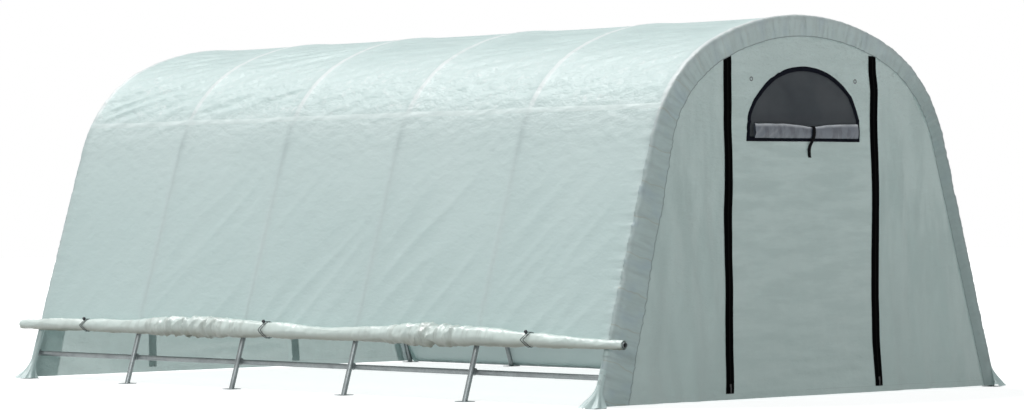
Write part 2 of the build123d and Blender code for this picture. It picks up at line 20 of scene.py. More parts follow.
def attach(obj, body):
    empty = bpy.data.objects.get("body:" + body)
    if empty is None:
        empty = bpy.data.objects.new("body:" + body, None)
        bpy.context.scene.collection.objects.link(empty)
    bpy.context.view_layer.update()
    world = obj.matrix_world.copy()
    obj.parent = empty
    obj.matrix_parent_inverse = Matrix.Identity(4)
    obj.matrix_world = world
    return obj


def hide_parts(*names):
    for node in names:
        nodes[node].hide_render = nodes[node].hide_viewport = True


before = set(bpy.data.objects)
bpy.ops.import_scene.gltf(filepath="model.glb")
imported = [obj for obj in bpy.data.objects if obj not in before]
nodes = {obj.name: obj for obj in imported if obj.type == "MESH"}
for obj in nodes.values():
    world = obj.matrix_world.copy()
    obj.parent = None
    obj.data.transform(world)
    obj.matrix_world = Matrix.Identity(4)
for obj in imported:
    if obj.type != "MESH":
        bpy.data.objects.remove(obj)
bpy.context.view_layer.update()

# %% [markdown]
# ## Camera
#
# A long lens from far away keeps the ridge and the roll nearly parallel. A wide lens close by would
# show the same sides, but would swell the near corner. The camera stands level, at chest height,
# off the left front corner.

# %% Camera
EYE = Vector((-16.81, -19.342, 1.22))
HEADING = math.radians(41.35)  # clockwise from +Y
ROLL = math.radians(-0.41)
LENS = 128.5
SENSOR = 36.0
FAR_CLIP = 200.0


def add_object(name, data):
    item = bpy.data.objects.new(name, data)
    bpy.context.collection.objects.link(item)
    return item


camera = add_object("camera", bpy.data.cameras.new("camera"))
camera.data.lens = LENS
camera.data.sensor_width = SENSOR
camera.data.clip_end = FAR_CLIP
level = Matrix.Rotation(-HEADING, 4, "Z") @ Matrix.Rotation(math.radians(90), 4, "X")
camera.matrix_world = Matrix.Translation(EYE) @ level @ Matrix.Rotation(ROLL, 4, "Z")
bpy.context.scene.camera = camera
print("camera at", EYE[:])

# %% [markdown]
# ## Shader maths
#
# Cloth, steel, sky and floor all need small sums on sockets. Written node by node they are hard to
# read, so one class wraps a socket and lets us write `1 - mask` or `noise * 0.2`. Numbers go
# through Math nodes. Colours never do, because a Math node turns a colour grey: they are mixed,
# as coats of paint are, each over the last where its mask lets it show.

# %% Shader maths
class Value:
    """A number in a material, which adds its Math nodes as it is used in a sum."""

    def __init__(self, finish, socket):
        self.finish = finish
        self.socket = socket

    def math(self, operation, *others):
        values = dict(enumerate([self, *others]))
        return self.finish.add("ShaderNodeMath", {"operation": operation}, values)

    def __add__(self, other):
        return self.math("ADD", other)

    def __sub__(self, other):
        return self.math("SUBTRACT", other)

    def __mul__(self, other):
        return self.math("MULTIPLY", other)

    def __rsub__(self, other):
        return self.finish.add("ShaderNodeMath", {"operation": "SUBTRACT"}, {0: other, 1: self})

    __radd__ = __add__
    __rmul__ = __mul__

    def step(self, low, high):
        """0 below low, 1 above high, and smooth between."""
        settings = {"interpolation_type": "SMOOTHSTEP"}
        values = {"Value": self, "From Min": low, "From Max": high}
        return self.finish.add("ShaderNodeMapRange", settings, values)

    def hump(self, low, full, still, high):
        """0 below low and above high, 1 from full to still, and smooth between."""
        return self.step(low, full) * (1 - self.step(still, high))

    def line(self, centre, half_width):
        """1 on a line where the value is centre, and 0 past its half width."""
        return 1 - (self - centre).math("ABSOLUTE").step(0.0, half_width)


# %% A finish
class Finish:
    """A new material, or a world, and the nodes that it is made of."""

    def __init__(self, name, world=None):
        self.material = world or bpy.data.materials.new(name)
        self.material.use_nodes = True
        self.tree = self.material.node_tree
        self.tree.nodes.clear()

    def add(self, kind, settings=None, inputs=None, output=0):
        """Adds a node, with its settings first and then its inputs. Returns one output."""
        node = self.tree.nodes.new(kind)
        for key, value in (settings or {}).items():
            setattr(node, key, value)
        for key, value in (inputs or {}).items():
            socket = node.inputs[key]
            if isinstance(value, Value):
                self.tree.links.new(value.socket, socket)
            elif socket.type == "RGBA":
                socket.default_value = (*value, 1.0)
            else:
                socket.default_value = value
        return Value(self, node.outputs[output]) if node.outputs else None

    def place(self):
        """Object coordinates, the same for all pieces because each sits at the origin."""
        return self.add("ShaderNodeTexCoord", output="Object")

    def cut(self):
        """Metres along and across the flat cloth, kept as the piece's UV map."""
        return self.add("ShaderNodeUVMap", {"uv_map": "cut"})

    def axis(self, vector, name):
        return self.add("ShaderNodeSeparateXYZ", inputs={0: vector}, output=name)

    def noise(self, vector, scale, detail=2.0, roughness=0.5, squeeze=None):
        """Soft noise. It is drawn out into streaks where squeeze differs along and across."""
        if squeeze:
            inputs = {"Vector": vector, "Scale": (*squeeze, 1.0)}
            vector = self.add("ShaderNodeMapping", inputs=inputs)
        inputs = {"Vector": vector, "Scale": scale, "Detail": detail, "Roughness": roughness}
        return self.add("ShaderNodeTexNoise", inputs=inputs)

    def ribs(self, cut, direction, pitch, uneven=0.0):
        """Height of fine ribs, a pitch apart."""
        inputs = {"Vector": cut, "Scale": math.tau / (20 * pitch), "Distortion": uneven}
        return self.add("ShaderNodeTexWave", {"bands_direction": direction}, inputs, output="Fac")

    def coats(self, tone, *coats):
        """Lays coats of colour over a tone. Each is a mask and its colour."""
        for mask, colour in coats:
            inputs = {0: mask, 6: tone, 7: colour}
            tone = self.add("ShaderNodeMix", {"data_type": "RGBA"}, inputs, output=2)
        return tone

    def bump(self, height, distance, strength=1.0, under=None):
        inputs = {"Height": height, "Distance": distance, "Strength": strength}
        if under is not None:
            inputs["Normal"] = under
        return self.add("ShaderNodeBump", inputs=inputs)

    def surface(self, tone, roughness, normal, others, glow=None):
        """Ends the material with one shader, mixed with see-through light where it has any."""
        inputs = {"Base Color": tone, "Roughness": roughness, "Normal": normal, **others}
        shader = self.add("ShaderNodeBsdfPrincipled", inputs=inputs)
        if glow is not None:
            colour, share = glow
            inner = {"Color": colour, "Normal": normal}
            back = self.add("ShaderNodeBsdfTranslucent", inputs=inner)
            shader = self.add("ShaderNodeMixShader", inputs={0: share, 1: shader, 2: back})
        self.add("ShaderNodeOutputMaterial", inputs={0: shader})
        return self.material


# %% [markdown]
# ## Light, sky and floor
#
# Film cloth is judged by how light grades over it. A main sun, made soft by its angle, comes from
# high behind the building and glances off its left shoulder, so the roof is brightest, the left
# wall is next and the front end stands in open shade. A weak second one, low at the left, draws
# the folds there, and a pale world fills the rest. The background is white only for rays that
# come from the eye or through a reflection, so it adds no light of its own.

# %% Light and sky
SKY_STRENGTH = 0.31
SKY_COLOUR = (0.97, 1.0, 1.0)
WHITE = (1.0, 1.0, 1.0)
SUNS = {
    "main_sun": ((-0.15, 0.50, 0.85), 2.3, 20),
    "front_fill": ((-0.80, -0.50, 0.30), 0.66, 10),
}

for name, (direction, strength, angle) in SUNS.items():
    sun = add_object(name, bpy.data.lights.new(name, "SUN"))
    sun.data.energy = strength
    sun.data.angle = math.radians(angle)
    sun.rotation_euler = Vector(direction).to_track_quat("Z", "Y").to_euler()


def white_for_the_eye(finish, lit, white, output):
    """Ends a tree so that eye, glossy and transmission rays see the white shader."""
    rays = ("Is Camera Ray", "Is Glossy Ray", "Is Transmission Ray")
    camera_ray, glossy, through = (finish.add("ShaderNodeLightPath", output=ray) for ray in rays)
    seen = camera_ray.math("MAXIMUM", glossy).math("MAXIMUM", through)
    both = finish.add("ShaderNodeMixShader", inputs={0: seen, 1: lit, 2: white})
    finish.add(output, inputs={0: both})


sky = Finish("sky", bpy.data.worlds.new("sky"))
dim = sky.add("ShaderNodeBackground", inputs={"Color": SKY_COLOUR, "Strength": SKY_STRENGTH})
white = sky.add("ShaderNodeBackground", inputs={"Color": WHITE})
white_for_the_eye(sky, dim, white, "ShaderNodeOutputWorld")
bpy.context.scene.world = sky.material
bpy.context.scene.view_settings.view_transform = "Standard"
print("lights", list(SUNS), "sky", SKY_STRENGTH)

# %% [markdown]
# The floor is a plain pale plane. It has to look as white as the background and still take the
# building's shadow. For the eye, a part of it is a plain white glow and the rest is the floor as
# it is lit, so that open floor adds up to white and a shadow still takes some of it away.

# %% Floor
FLOOR_SIZE = 120.0
FLOOR_DROP = 0.001
FLOOR_COLOUR = (0.54, 0.55, 0.55)
FLOOR_GLOW = 0.78

bm = bmesh.new()
bmesh.ops.create_grid(bm, x_segments=1, y_segments=1, size=FLOOR_SIZE / 2)
floor = add_object("floor", bpy.data.meshes.new("floor"))
bm.to_mesh(floor.data)
bm.free()
floor.location.z = -FLOOR_DROP
paint = Finish("floor_paint")
plain = paint.add("ShaderNodeBsdfDiffuse", inputs={"Color": FLOOR_COLOUR})
glow = paint.add("ShaderNodeEmission", inputs={"Strength": FLOOR_GLOW})
both = paint.add("ShaderNodeAddShader", inputs={0: plain, 1: glow})
white_for_the_eye(paint, plain, both, "ShaderNodeOutputMaterial")
floor.data.materials.append(paint.material)

# %% [markdown]
# ## The line of the bows
#
# Everything is hung on one curve: straight legs that lean in, two shoulder bends and a flatter
# crown. We follow the cover's outer face from the ridge, to the left with minus and to the right
# with plus, so a seam, a hem or a fold has one number for its place round the building.

# %% The line of the bows
WIDTH = 3.66
HEIGHT = 2.44
BAY = 1.22
BAYS = 5
HALF_LENGTH = BAY * BAYS / 2
LEAN = math.radians(16.8)
TURN = math.radians(48.2)
BEND_DROP = 0.785
SEAM_DROP = 0.59
SIDES = (("left", -1), ("right", 1))
ENDS = (("front", -1), ("back", 1))

bend_z = HEIGHT - BEND_DROP
bend_x = WIDTH / 2 - bend_z * math.tan(LEAN)
split = LEAN + TURN
# Both bends start and end in line with their neighbours, which gives two equations for the radii
a, b = math.cos(LEAN) - math.cos(split), math.cos(split)
c, d = math.sin(split) - math.sin(LEAN), 1 - math.sin(split)
shoulder_r = (bend_x * d - b * BEND_DROP) / (a * d - b * c)
crown_r = (a * BEND_DROP - bend_x * c) / (a * d - b * c)
shoulder_x = bend_x - shoulder_r * math.cos(LEAN)
shoulder_z = bend_z - shoulder_r * math.sin(LEAN)
crown_z = HEIGHT - crown_r

crown_end = crown_r * (math.pi / 2 - split)
bend_end = crown_end + shoulder_r * TURN
ground = bend_end + bend_z / math.cos(LEAN)
seam_turn = math.asin((HEIGHT - SEAM_DROP - shoulder_z) / shoulder_r)
seam = crown_end + shoulder_r * (split - seam_turn)


def arch(along):
    """Place (x, z) and outward direction at a distance round the cover from the ridge."""
    side = math.copysign(1, along)
    far = abs(along)
    if far < crown_end:
        angle = math.pi / 2 - far / crown_r
        x, z = crown_r * math.cos(angle), crown_z + crown_r * math.sin(angle)
    elif far < bend_end:
        angle = split - (far - crown_end) / shoulder_r
        x, z = shoulder_x + shoulder_r * math.cos(angle), shoulder_z + shoulder_r * math.sin(angle)
    else:
        angle = LEAN
        x = bend_x + (far - bend_end) * math.sin(LEAN)
        z = bend_z - (far - bend_end) * math.cos(LEAN)
    return side * x, z, side * math.cos(angle), math.sin(angle)


def down_to(height):
    """Distance from the ridge at which the straight wall reaches a height."""
    return bend_end + (bend_z - height) / math.cos(LEAN)


print("radii", [round(radius, 3) for radius in (shoulder_r, crown_r)])
print("from the ridge, seam and ground are at", [round(far, 3) for far in (seam, ground)])

# %% [markdown]
# ## Cloth from a flat cut
#
# Each sheet starts flat, as it left the cutting table: a grid is given the outline of its cut, and
# that flat place is kept as a UV map in metres, so weave and stitches follow the cloth. A second
# function then says where each point ends up on the building. Cloth simulation could hang the
# cover too, but the pull of six bows, five rails and a heavy roll is known here, and a function of
# it gives the same folds each time.

# %% Helpers for folds
def ease(low, high, value):
    """0 below low, 1 above high, and smooth between."""
    share = min(1.0, max(0.0, (value - low) / (high - low)))
    return share * share * (3 - 2 * share)


def hump(low, full, still, high, value):
    """0 below low and above high, 1 from full to still, and smooth between."""
    return ease(low, full, value) * (1 - ease(still, high, value))


def bell(value, centre, width):
    return math.exp(-(((value - centre) / width) ** 2))


def wave(across, along, seed):
    """Smooth random folds, from -1 to 1."""
    return noise.noise(Vector((across, along, seed)))


def crease(across, along, seed):
    """Random folds with sharp crests, from 0 to 1."""
    return (1 - abs(noise.noise(Vector((across, along, seed))))) ** 3


def between(table, value):
    """Reads a table of (value, result) pairs, with a smooth turn at each pair."""
    for (low, start), (high, end) in zip(table, table[1:]):
        if value <= high:
            return start + (end - start) * ease(low, high, value)
    return table[-1][1]


# %% Helpers for pieces
def make_piece(name, bm, finish, slot, node=None):
    """Makes a piece of a bmesh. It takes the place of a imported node, if one is named."""
    mesh = bpy.data.meshes.new(name)
    bm.to_mesh(mesh)
    bm.free()
    mesh.shade_smooth()
    mesh.materials.append(finish)
    print(name, "has", len(mesh.polygons), "faces")
    piece = add_object(name, mesh)
    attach(piece, "root")
    if node:
        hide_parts(node)
    return piece


def cut_cloth(cells, outline):
    """A flat cloth. outline turns shares across and along into metres on the cutting table."""
    bm = bmesh.new()
    bmesh.ops.create_grid(bm, x_segments=cells[0], y_segments=cells[1], size=0.5)
    for vert in bm.verts:
        vert.co = (*outline(vert.co.x + 0.5, vert.co.y + 0.5), 0)
    layer = bm.loops.layers.uv.new("cut")
    for face in bm.faces:
        for loop in face.loops:
            loop[layer].uv = loop.vert.co.xy
    return bm


def hang(name, node, bm, place, finish, slot, inside=(0, 0, 0.8), **soft):
    """Moves a flat cloth to its place, with its face away from a point inside.

    soft, how a sheet is held and what it rests on, is not used. A trim has none.
    """
    area = sum(face.calc_area() for face in bm.faces)
    for vert in bm.verts:
        vert.co = place(vert.co.x, vert.co.y)
    bm.normal_update()
    middle = Vector(inside)
    if sum(face.normal.dot(face.calc_center_median() - middle) for face in bm.faces) < 0:
        bmesh.ops.reverse_faces(bm, faces=bm.faces)
    piece = make_piece(name, bm, finish, slot, node)
    return piece


# %% [markdown]
# ## Finish of the cover
#
# The cover is a woven film: flat tapes laid over and under, with a clear coat on both sides. Up
# close it is a fine check, from afar a satin skin with many tiny creases from its box. It lets
# about a quarter of the light through, which is why cloth in its own shade still glows. Highlights
# are painted pale on the shoulders and over the bows, shade is painted near the ridge and over the
# bows below the seam, a little light is painted over the bows low down, and the cloth is darker
# near the ground.
# Those marks are coats of colour, painted by height and by distance from the nearest bow, so that
# they stay in place when a fold is changed.

# %% Cover finish
def check_weave(film, cut, pitch):
    """Height of a plain weave: two sets of tapes, square to each other."""
    return film.ribs(cut, "X", pitch, 0.3) * film.ribs(cut, "Y", pitch, 0.3)


def woven_film(name, colour, shade, see_through, crumple, roughness, marks=None):
    """Cloudy colour with wear and painted light, crumpled, woven, and lit from behind in part."""
    film = Finish(name)
    place, cut = film.place(), film.cut()
    clouds = film.noise(place, 1.3, 3.0).step(0.35, 0.7) + film.noise(place, 9.0, 4.0, 0.6)
    tone = film.coats(shade, (clouds * 0.5, colour))
    if marks:
        tone = film.coats(tone, *marks(film, cut))
    handled = film.axis(place, "Z").step(1.55, 1.95) + 0.62
    broad = film.noise(cut, 9.0, 3.0, 0.55, (1.0, 1.7))
    fine = film.noise(cut, 26.0, 5.0, 0.68, (1.0, 1.4))
    folds = film.bump(broad * handled, crumple * 2.2)
    creases = film.bump(fine * handled, crumple, 1.0, folds)
    normal = film.bump(check_weave(film, cut, 0.004), 0.0003, 0.35, creases)
    rough = film.noise(cut, 6.0, 3.0) * 0.14 + (roughness - 0.07)
    return film.surface(tone, rough, normal, {"Specular IOR Level": 0.9}, (colour, see_through))


def bow_marks(film, cut):
    """Painted light on shoulders and bows, painted shade on ridge and bows, darker low down."""
    height = film.axis(film.place(), "Z")
    bays = film.axis(cut, "X") * (1 / BAY)
    from_bow = (bays - bays.math("ROUND")).math("ABSOLUTE") * BAY
    over_bow = 1 - from_bow.step(0.0, 0.060)
    high = height.step(1.75, 2.0)
    patchy = film.noise(cut, 2.2).step(0.35, 0.6)
    crinkle_glints = film.noise(cut, 17.0, 5.0, 0.66).step(0.50, 0.68) * patchy
    streaks = film.noise(cut, 1.0, 4.0, 0.6, (1.1, 9.0)).step(0.38, 0.62) * 0.62 + 0.10
    ridge = height.step(2.16, 2.39) * from_bow.step(0.02, 0.30) * streaks
    wear_and_painted_light = (1 - height.step(0.9, 1.7)) * (film.noise(cut, 0.9, 2.0).step(0.3, 0.7) * 0.14 + 0.13)
    uneven = film.noise(cut, 4.0, 2.0).step(0.3, 0.6) * 0.25 + 0.75
    bow_highlight = (1 - from_bow.step(0.013, 0.036)) * high * uneven
    return [
        ((1 - height.step(0.2, 1.8)) * 0.85, (0.53, 0.66, 0.65)),  # darker near the ground
        (height.hump(1.0, 1.9, 2.1, 2.35) * 0.28, (0.84, 0.94, 0.93)),  # painted highlight on the shoulders
        # painted glints on the shoulders' crinkles
        (crinkle_glints * height.hump(1.82, 1.92, 2.16, 2.32) * 0.75, (0.97, 1.0, 1.0)),
        # painted shade of the sag between bows, near the ridge
        (ridge, (0.42, 0.53, 0.53)),
        # painted shadow of each bow, below the seam
        (over_bow * (1 - high) * height.step(1.42, 1.70) * 0.24, (0.40, 0.52, 0.52)),
        # painted light low over each bow, against the bow's shadow through the cloth
        (over_bow * wear_and_painted_light, (0.84, 0.94, 0.93)),
        (high * 0.25, (0.62, 0.85, 0.83)),  # the roof is a little greener than the walls
        # painted highlight along each bow on the roof
        (bow_highlight, (0.93, 1.0, 1.0)),
    ]


COVER = (0.68, 0.80, 0.79)
COVER_SHADE = (0.61, 0.74, 0.73)
TAPE = (0.80, 0.90, 0.89)
TAPE_SHADE = (0.72, 0.83, 0.82)
cover_film = woven_film("cover_film", COVER, COVER_SHADE, 0.25, 0.0030, 0.44, bow_marks)
tape_film = woven_film("tape_film", TAPE, TAPE_SHADE, 0.20, 0.0014, 0.40)

# %% [markdown]
# ## How the cover hangs
#
# The cover touches only the bows. Between them it sinks a little over the crown, and hardly at
# all on the straight walls, where the roll's weight pulls it flat. Long folds run from one bow to
# the next over the shoulders. On the walls they slant up towards the front, where the cover is
# pulled to the corner. Along the end bows the cloth is gathered into short puckers.

# %% How the cover hangs
TUBE = 0.0175
ON_BOW = 0.0022
ON_CLOTH = 0.0004  # between one cloth and another that is laid on it
CREST = 0.012
SINK = [(0.0, 0.011), (0.5, 0.013), (0.95, 0.017), (1.5, 0.011), (2.0, 0.006), (3.4, 0.004)]


def bay_place(y):
    """Share of the way through a bay, the distance to the nearest bow, and the bay's number."""
    count = min(BAYS - 1, max(0, math.floor((y + HALF_LENGTH) / BAY)))
    share = min(1.0, max(0.0, (y + HALF_LENGTH) / BAY - count))
    return share, BAY * min(share, 1 - share), count


def gather(along):
    """Height of the puckers where the cover turns over an end bow."""
    far = abs(along)
    wall = hump(1.3, 1.9, 3.1, 3.4, far) * (1.0 if along < 0 else 0.35)
    short = 0.55 * crease(along / 0.085, 0, 3.7) + 0.45 * crease(along / 0.036, 0, 9.1)
    return (0.004 + 0.018 * wall) * (short - 0.42)


def cover_height(along, y):
    """How far the cover stands off the bows' line, outwards."""
    far = abs(along)
    share, near, bay = bay_place(y)
    depth = between(SINK, far) * (1 + 0.25 * wave(bay * 1.7, 0, 5))
    tent = 1 - math.exp(-(math.hypot(near, CREST) - CREST) / 0.05)
    height = -depth * (0.6 * tent + 0.4 * 4 * share * (1 - share))
    free = ease(0.02, 0.22, near)
    shoulders = hump(0.15, 0.5, 1.25, 1.65, far)
    back = 0.45 + 0.85 * ease(-0.8, 2.2, y)
    long_fold = crease((far - 0.34 * y) / 0.10, y / 1.6, 1.3 + bay)
    height += 0.0145 * shoulders * back * free * (long_fold - 0.4)
    height += 0.0032 * shoulders * wave((far - 0.2 * y) / 0.045, y / 0.30, 4.0)
    crumple = wave(far / 0.07, y / 0.09, 8.0) + 0.5 * wave(far / 0.03, y / 0.04, 2.0)
    height += 0.0028 * crumple * hump(0.5, 0.9, 1.6, 2.2, far)
    wall = ease(1.6, 2.3, far)
    slant = crease((far - 1.05 * y) / 0.26, (far + y) / 1.5, 6.0)
    nearer = 0.4 + 0.6 * (1 - ease(0.5, 2.6, y))
    height += 0.007 * wall * nearer * free * (slant - 0.4)
    height += 0.0014 * wall * wave(far / 0.12, y / 0.16, 12.0)
    reach = 0.06 + 0.05 * abs(wave(along / 0.11, 0, 17.0))
    height += gather(along) * math.exp(-(y + HALF_LENGTH) / reach)
    height += 0.3 * gather(along) * math.exp(-(HALF_LENGTH - y) / reach)
    if near < TUBE:
        # A fold may not sink into the bow's round tube
        height = max(height, math.sqrt(TUBE**2 - near**2) - TUBE - ON_BOW)
    return height


def cover_point(along, y, lift=0.0):
    x, z, nx, nz = arch(along)
    height = cover_height(along, y) + lift
    return Vector((x + nx * height, y, z + nz * height))


# %% [markdown]
# ## The roll's line
#
# The left wall ends where it meets its own roll, so the roll's size along the building comes
# first. It is thin at the tube's ends and under the ties, and full where cloth has bunched.

# %% The roll's line
ROLL_HALF = HALF_LENGTH + 0.183
ROLL_SEAT = 0.028
CLEAR = 0.0003  # between a roll and the wall
ROLL_HEIGHT = 0.388
ROLL_SHAPE = [
    (0.0, 0.026), (0.06, 0.033), (0.13, 0.046), (0.21, 0.060), (0.28, 0.063), (0.36, 0.052),
    (0.44, 0.040), (0.54, 0.055), (0.63, 0.062), (0.71, 0.060), (0.80, 0.045), (0.93, 0.042),
    (1.0, 0.031),
]  # fmt: skip
TIES = (0.13, 0.54, 0.87)


def leg_x(height, inset):
    """Distance from the middle to the leg's line at a height."""
    return WIDTH / 2 - (inset + height * math.sin(LEAN)) / math.cos(LEAN)


def around(x, z, size, angle, y):
    """Point at a distance from a line that runs along the building, and an angle round it."""
    return Vector((x + size * math.cos(angle), y, z + size * math.sin(angle)))


def roll_at(y):
    """Middle (x, z) of the left roll and its radius."""
    radius = between(ROLL_SHAPE, (y + ROLL_HALF) / (2 * ROLL_HALF))
    height = ROLL_HEIGHT + 0.8 * (radius - ROLL_SEAT)
    return -leg_x(height, -CLEAR - radius), height, radius


def roll_contact(y):
    """Height at which the roll touches the wall."""
    _, height, radius = roll_at(min(HALF_LENGTH, max(-HALF_LENGTH, y)))
    return height - radius * math.sin(LEAN)


# %% Roof and walls
LENGTH = 2 * HALF_LENGTH
bows = ["front_bow", "bow_2", "bow_3", "bow_4", "bow_5", "back_bow"]
WALL_FOOT = 0.022
right_hem = down_to(WALL_FOOT)
left_hem = down_to(roll_contact(0))


def strip(width, start=lambda along: 0):
    """Outline of a strip as long as the cover. Its first edge may move with the place along it."""

    def outline(a, b):
        first = start(a * LENGTH)
        return a * LENGTH, first + b * (width - first)

    return outline


def over_roll(along):
    """How far the left wall's lower edge is above its place in the middle of the wall."""
    return left_hem - down_to(roll_contact(along - HALF_LENGTH))


def cover_sheet(name, cells, first, outline):
    """One sheet of the cover. first is the distance round the building of its edge at 0."""
    place = lambda u, v: cover_point(first + v, u - HALF_LENGTH)
    cloth = cut_cloth(cells, outline)
    soft = {"held": "stretched", "rests_on": bows}
    return hang(f"{name}_cover", f"{name}_sheet", cloth, place, cover_film, "cover_fabric", **soft)


roof = cover_sheet("roof", (244, 224), -seam, strip(2 * seam))
left_wall = cover_sheet("left_wall", (305, 110), -left_hem, strip(left_hem - seam, over_roll))
right_wall = cover_sheet("right_wall", (244, 120), seam, strip(right_hem - seam))

# %% [markdown]
# ## Welded seams
#
# Roof and walls are three widths of film, welded where they overlap on the shoulders. The weld is
# a flat strip of double cloth, a shade lighter and a millimetre proud. It could be a line in the
# cover's finish, but then it would have no edge for the light. We lay it on the cover's surface.

# %% Welded seams
SEAM_WIDTH = 0.040


def seam_strip(word, side):
    def place(u, v):
        rise = ON_CLOTH + 0.0008 * math.sin(math.pi * v / SEAM_WIDTH)
        return cover_point(side * seam + v - SEAM_WIDTH / 2, u - HALF_LENGTH, rise)

    cloth = cut_cloth((305, 8), strip(SEAM_WIDTH))
    names = (f"{word}_seam", f"{word}_seam_tape")
    hang(*names, cloth, place, tape_film, "cover_fabric", held="laid", rests_on=[roof])


for word, side in SIDES:
    seam_strip(word, side)

# %% [markdown]
# ## Edge bands
#
# At each end the cover turns over the end bow and is welded flat against the end wall, as a band
# as wide as a hand. Its cloth is longer outside than inside the bend, so it has radial pleats.
# The band's cut is measured from its hem: the painted shadow along its hem and its rust
# marks follow that.

# %% Band finish
def band_marks(film, cut):
    """Radial streaks, rust from the bow, painted side shade, bend highlight and hem shadow."""
    along, across = film.axis(cut, "X"), film.axis(cut, "Y")
    place = film.place()
    x, y, z = (film.axis(place, name) for name in "XYZ")
    radial = film.noise(cut, 1.0, 3.0, 0.6, (26.0, 3.0)).step(0.35, 0.75)
    patches = film.noise(cut, 1.0, 2.0, 0.5, (9.0, 5.0)).step(0.45, 0.7)
    uneven = film.noise(cut, 5.0, 2.0) * 0.5
    cross = (along * (1 / 0.23) + uneven).math("FRACT").line(0.5, 0.030)
    legs = 1 - (along - 3.6).math("ABSOLUTE").line(0.0, 1.6)
    bend = 1 - y.math("ABSOLUTE").step(HALF_LENGTH + 0.010, HALF_LENGTH + 0.022)
    return [
        (radial * 0.75, (0.42, 0.50, 0.49)),
        (patches * 0.5, (0.42, 0.53, 0.62)),
        (cross * legs * 0.5, (0.40, 0.36, 0.25)),  # rust
        (x.step(0.2, 1.7) * 0.95, (0.266, 0.350, 0.343)),  # painted shade, most of it on the right
        ((x * -1).step(0.3, 1.2) * 0.22, (0.40, 0.50, 0.50)),
        (z.step(1.7, 2.3) * 0.4, (0.72, 0.80, 0.79)),  # lighter towards the crown
        # painted highlight on the bend, high up
        (bend * z.step(1.5, 2.0) * 0.8, (0.90, 0.95, 0.95)),
        ((1 - across.step(0.003, 0.008)) * 0.8, (0.10, 0.13, 0.14)),  # painted shadow along the hem's edge
    ]


BAND = (0.62, 0.735, 0.74)
BAND_SHADE = (0.54, 0.66, 0.64)
band_film = woven_film("band_film", BAND, BAND_SHADE, 0.22, 0.0022, 0.42, band_marks)

# %% Edge bands
BEND = 0.0241
BEND_ARC = BEND * math.pi / 2
BEND_ROWS = 0.4  # share of the band's rows that go round the bend
PANEL_OUT = 0.0208
HEM = 0.010
BAND_WIDTHS = [
    (-3.4, 0.26), (-2.9, 0.235), (-2.2, 0.195), (-1.3, 0.15), (0.0, 0.14), (1.3, 0.13), (3.4, 0.12),
]  # fmt: skip
hem = down_to(HEM)


def band_width(along):
    """Distance from the cover's face to the band's hem, on the end wall."""
    return between(BAND_WIDTHS, along)


def band_point(along, inwards, end):
    """Point of the band, a distance along its cloth from the cover's edge."""
    x, z, nx, nz = arch(along)
    if inwards < BEND_ARC:
        angle = inwards / BEND
        inset, forward = BEND * (1 - math.cos(angle)), BEND * math.sin(angle)
        out, ahead = math.cos(angle), math.sin(angle)
    else:
        inset, forward = BEND + inwards - BEND_ARC, BEND
        out, ahead = 0.0, 1.0
    turned = ease(0, BEND_ARC, inwards)
    pleat = 0.013 * (crease(along / 0.060, inwards / 0.4, 7.0) - 0.40)
    pleat += 0.004 * (crease(along / 0.025, inwards / 0.3, 8.0) - 0.40)
    pleat *= ease(0.0, 0.05, inwards)
    pleat *= 1 - 0.65 * ease(1.2, 2.2, along) - 0.25 * ease(1.2, 2.2, -along)
    slack = 0.005 * wave(along / 0.16, inwards / 0.12, 14.0)
    height = cover_height(along, end * HALF_LENGTH) * (1 - 0.8 * turned) + pleat + turned * slack
    x += nx * (height * out - inset)
    z += nz * (height * out - inset)
    return Vector((x, end * (HALF_LENGTH + forward + max(height * ahead, -0.002)), z))


def edge_band(word, end):
    def outline(a, b):
        """0 is the hem. The rows are close together on the bend, and stop above the ground."""
        width = band_width(2 * a * hem - hem)
        flat, bent = width - BEND, b - (1 - BEND_ROWS)
        far = flat + bent / BEND_ROWS * BEND_ARC if bent > 0 else b / (1 - BEND_ROWS) * flat
        reach = down_to(HEM + (width - min(far, flat)) * math.sin(LEAN))
        return hem + (2 * a - 1) * reach, far

    def place(u, v):
        along = u - hem
        return band_point(along, band_width(along) - BEND + BEND_ARC - v, end)

    names = (f"{word}_band", f"{word}_edge_band")
    cloth = cut_cloth((560, 20), outline)
    cover = [roof, left_wall, right_wall]
    return hang(*names, cloth, place, band_film, "band_fabric", held="stretched", rests_on=cover)


bands = {end: edge_band(word, end) for word, end in ENDS}

# %% [markdown]
# ## End walls
#
# Each end wall is three panels on one line: a door between two zips, and a side panel outside
# each zip. Their edges go under the band. The side panels hang in soft upright folds because the
# legs lean away from them, and the door still shows the level creases of its packing. One height
# over the whole end wall keeps panels, zips and window on the same surface.

# %% End wall finish
def hem_marks(film, cut):
    """A turned hem, one row of stitches, darker low down, and painted shade in folds."""
    up = film.axis(cut, "Y")
    darker_low = (1 - (up + film.noise(cut, 3.0, 4.0) * 0.8).step(0.4, 1.9)) * 0.48
    sides = film.axis(film.place(), "X").math("ABSOLUTE").step(0.64, 0.72)
    upright = film.noise(cut, 1.0, 3.0, 0.55, (8.0, 1.8)).step(0.36, 0.64)
    level = film.noise(cut, 1.0, 4.0, 0.6, (2.2, 10.0)).step(0.36, 0.64)
    stitch = film.axis(cut, "X").math("MODULO", 0.008).step(0.002, 0.003)
    return [
        # darker towards the bottom and on the side panels
        (darker_low + sides * 0.25, (0.39, 0.48, 0.465)),
        # painted shade of folds: upright on the side panels, level on the door
        (upright * sides * 0.80 + level * (1 - sides) * 0.58, (0.42, 0.52, 0.505)),
        (up.step(1.3, 2.2) * 0.5, (0.72, 0.82, 0.805)),
        ((1 - up.step(0.052, 0.055)) * 0.25, (0.45, 0.53, 0.52)),  # double cloth
        (up.line(0.048, 0.002) * stitch * 0.7, (0.16, 0.19, 0.19)),
    ]


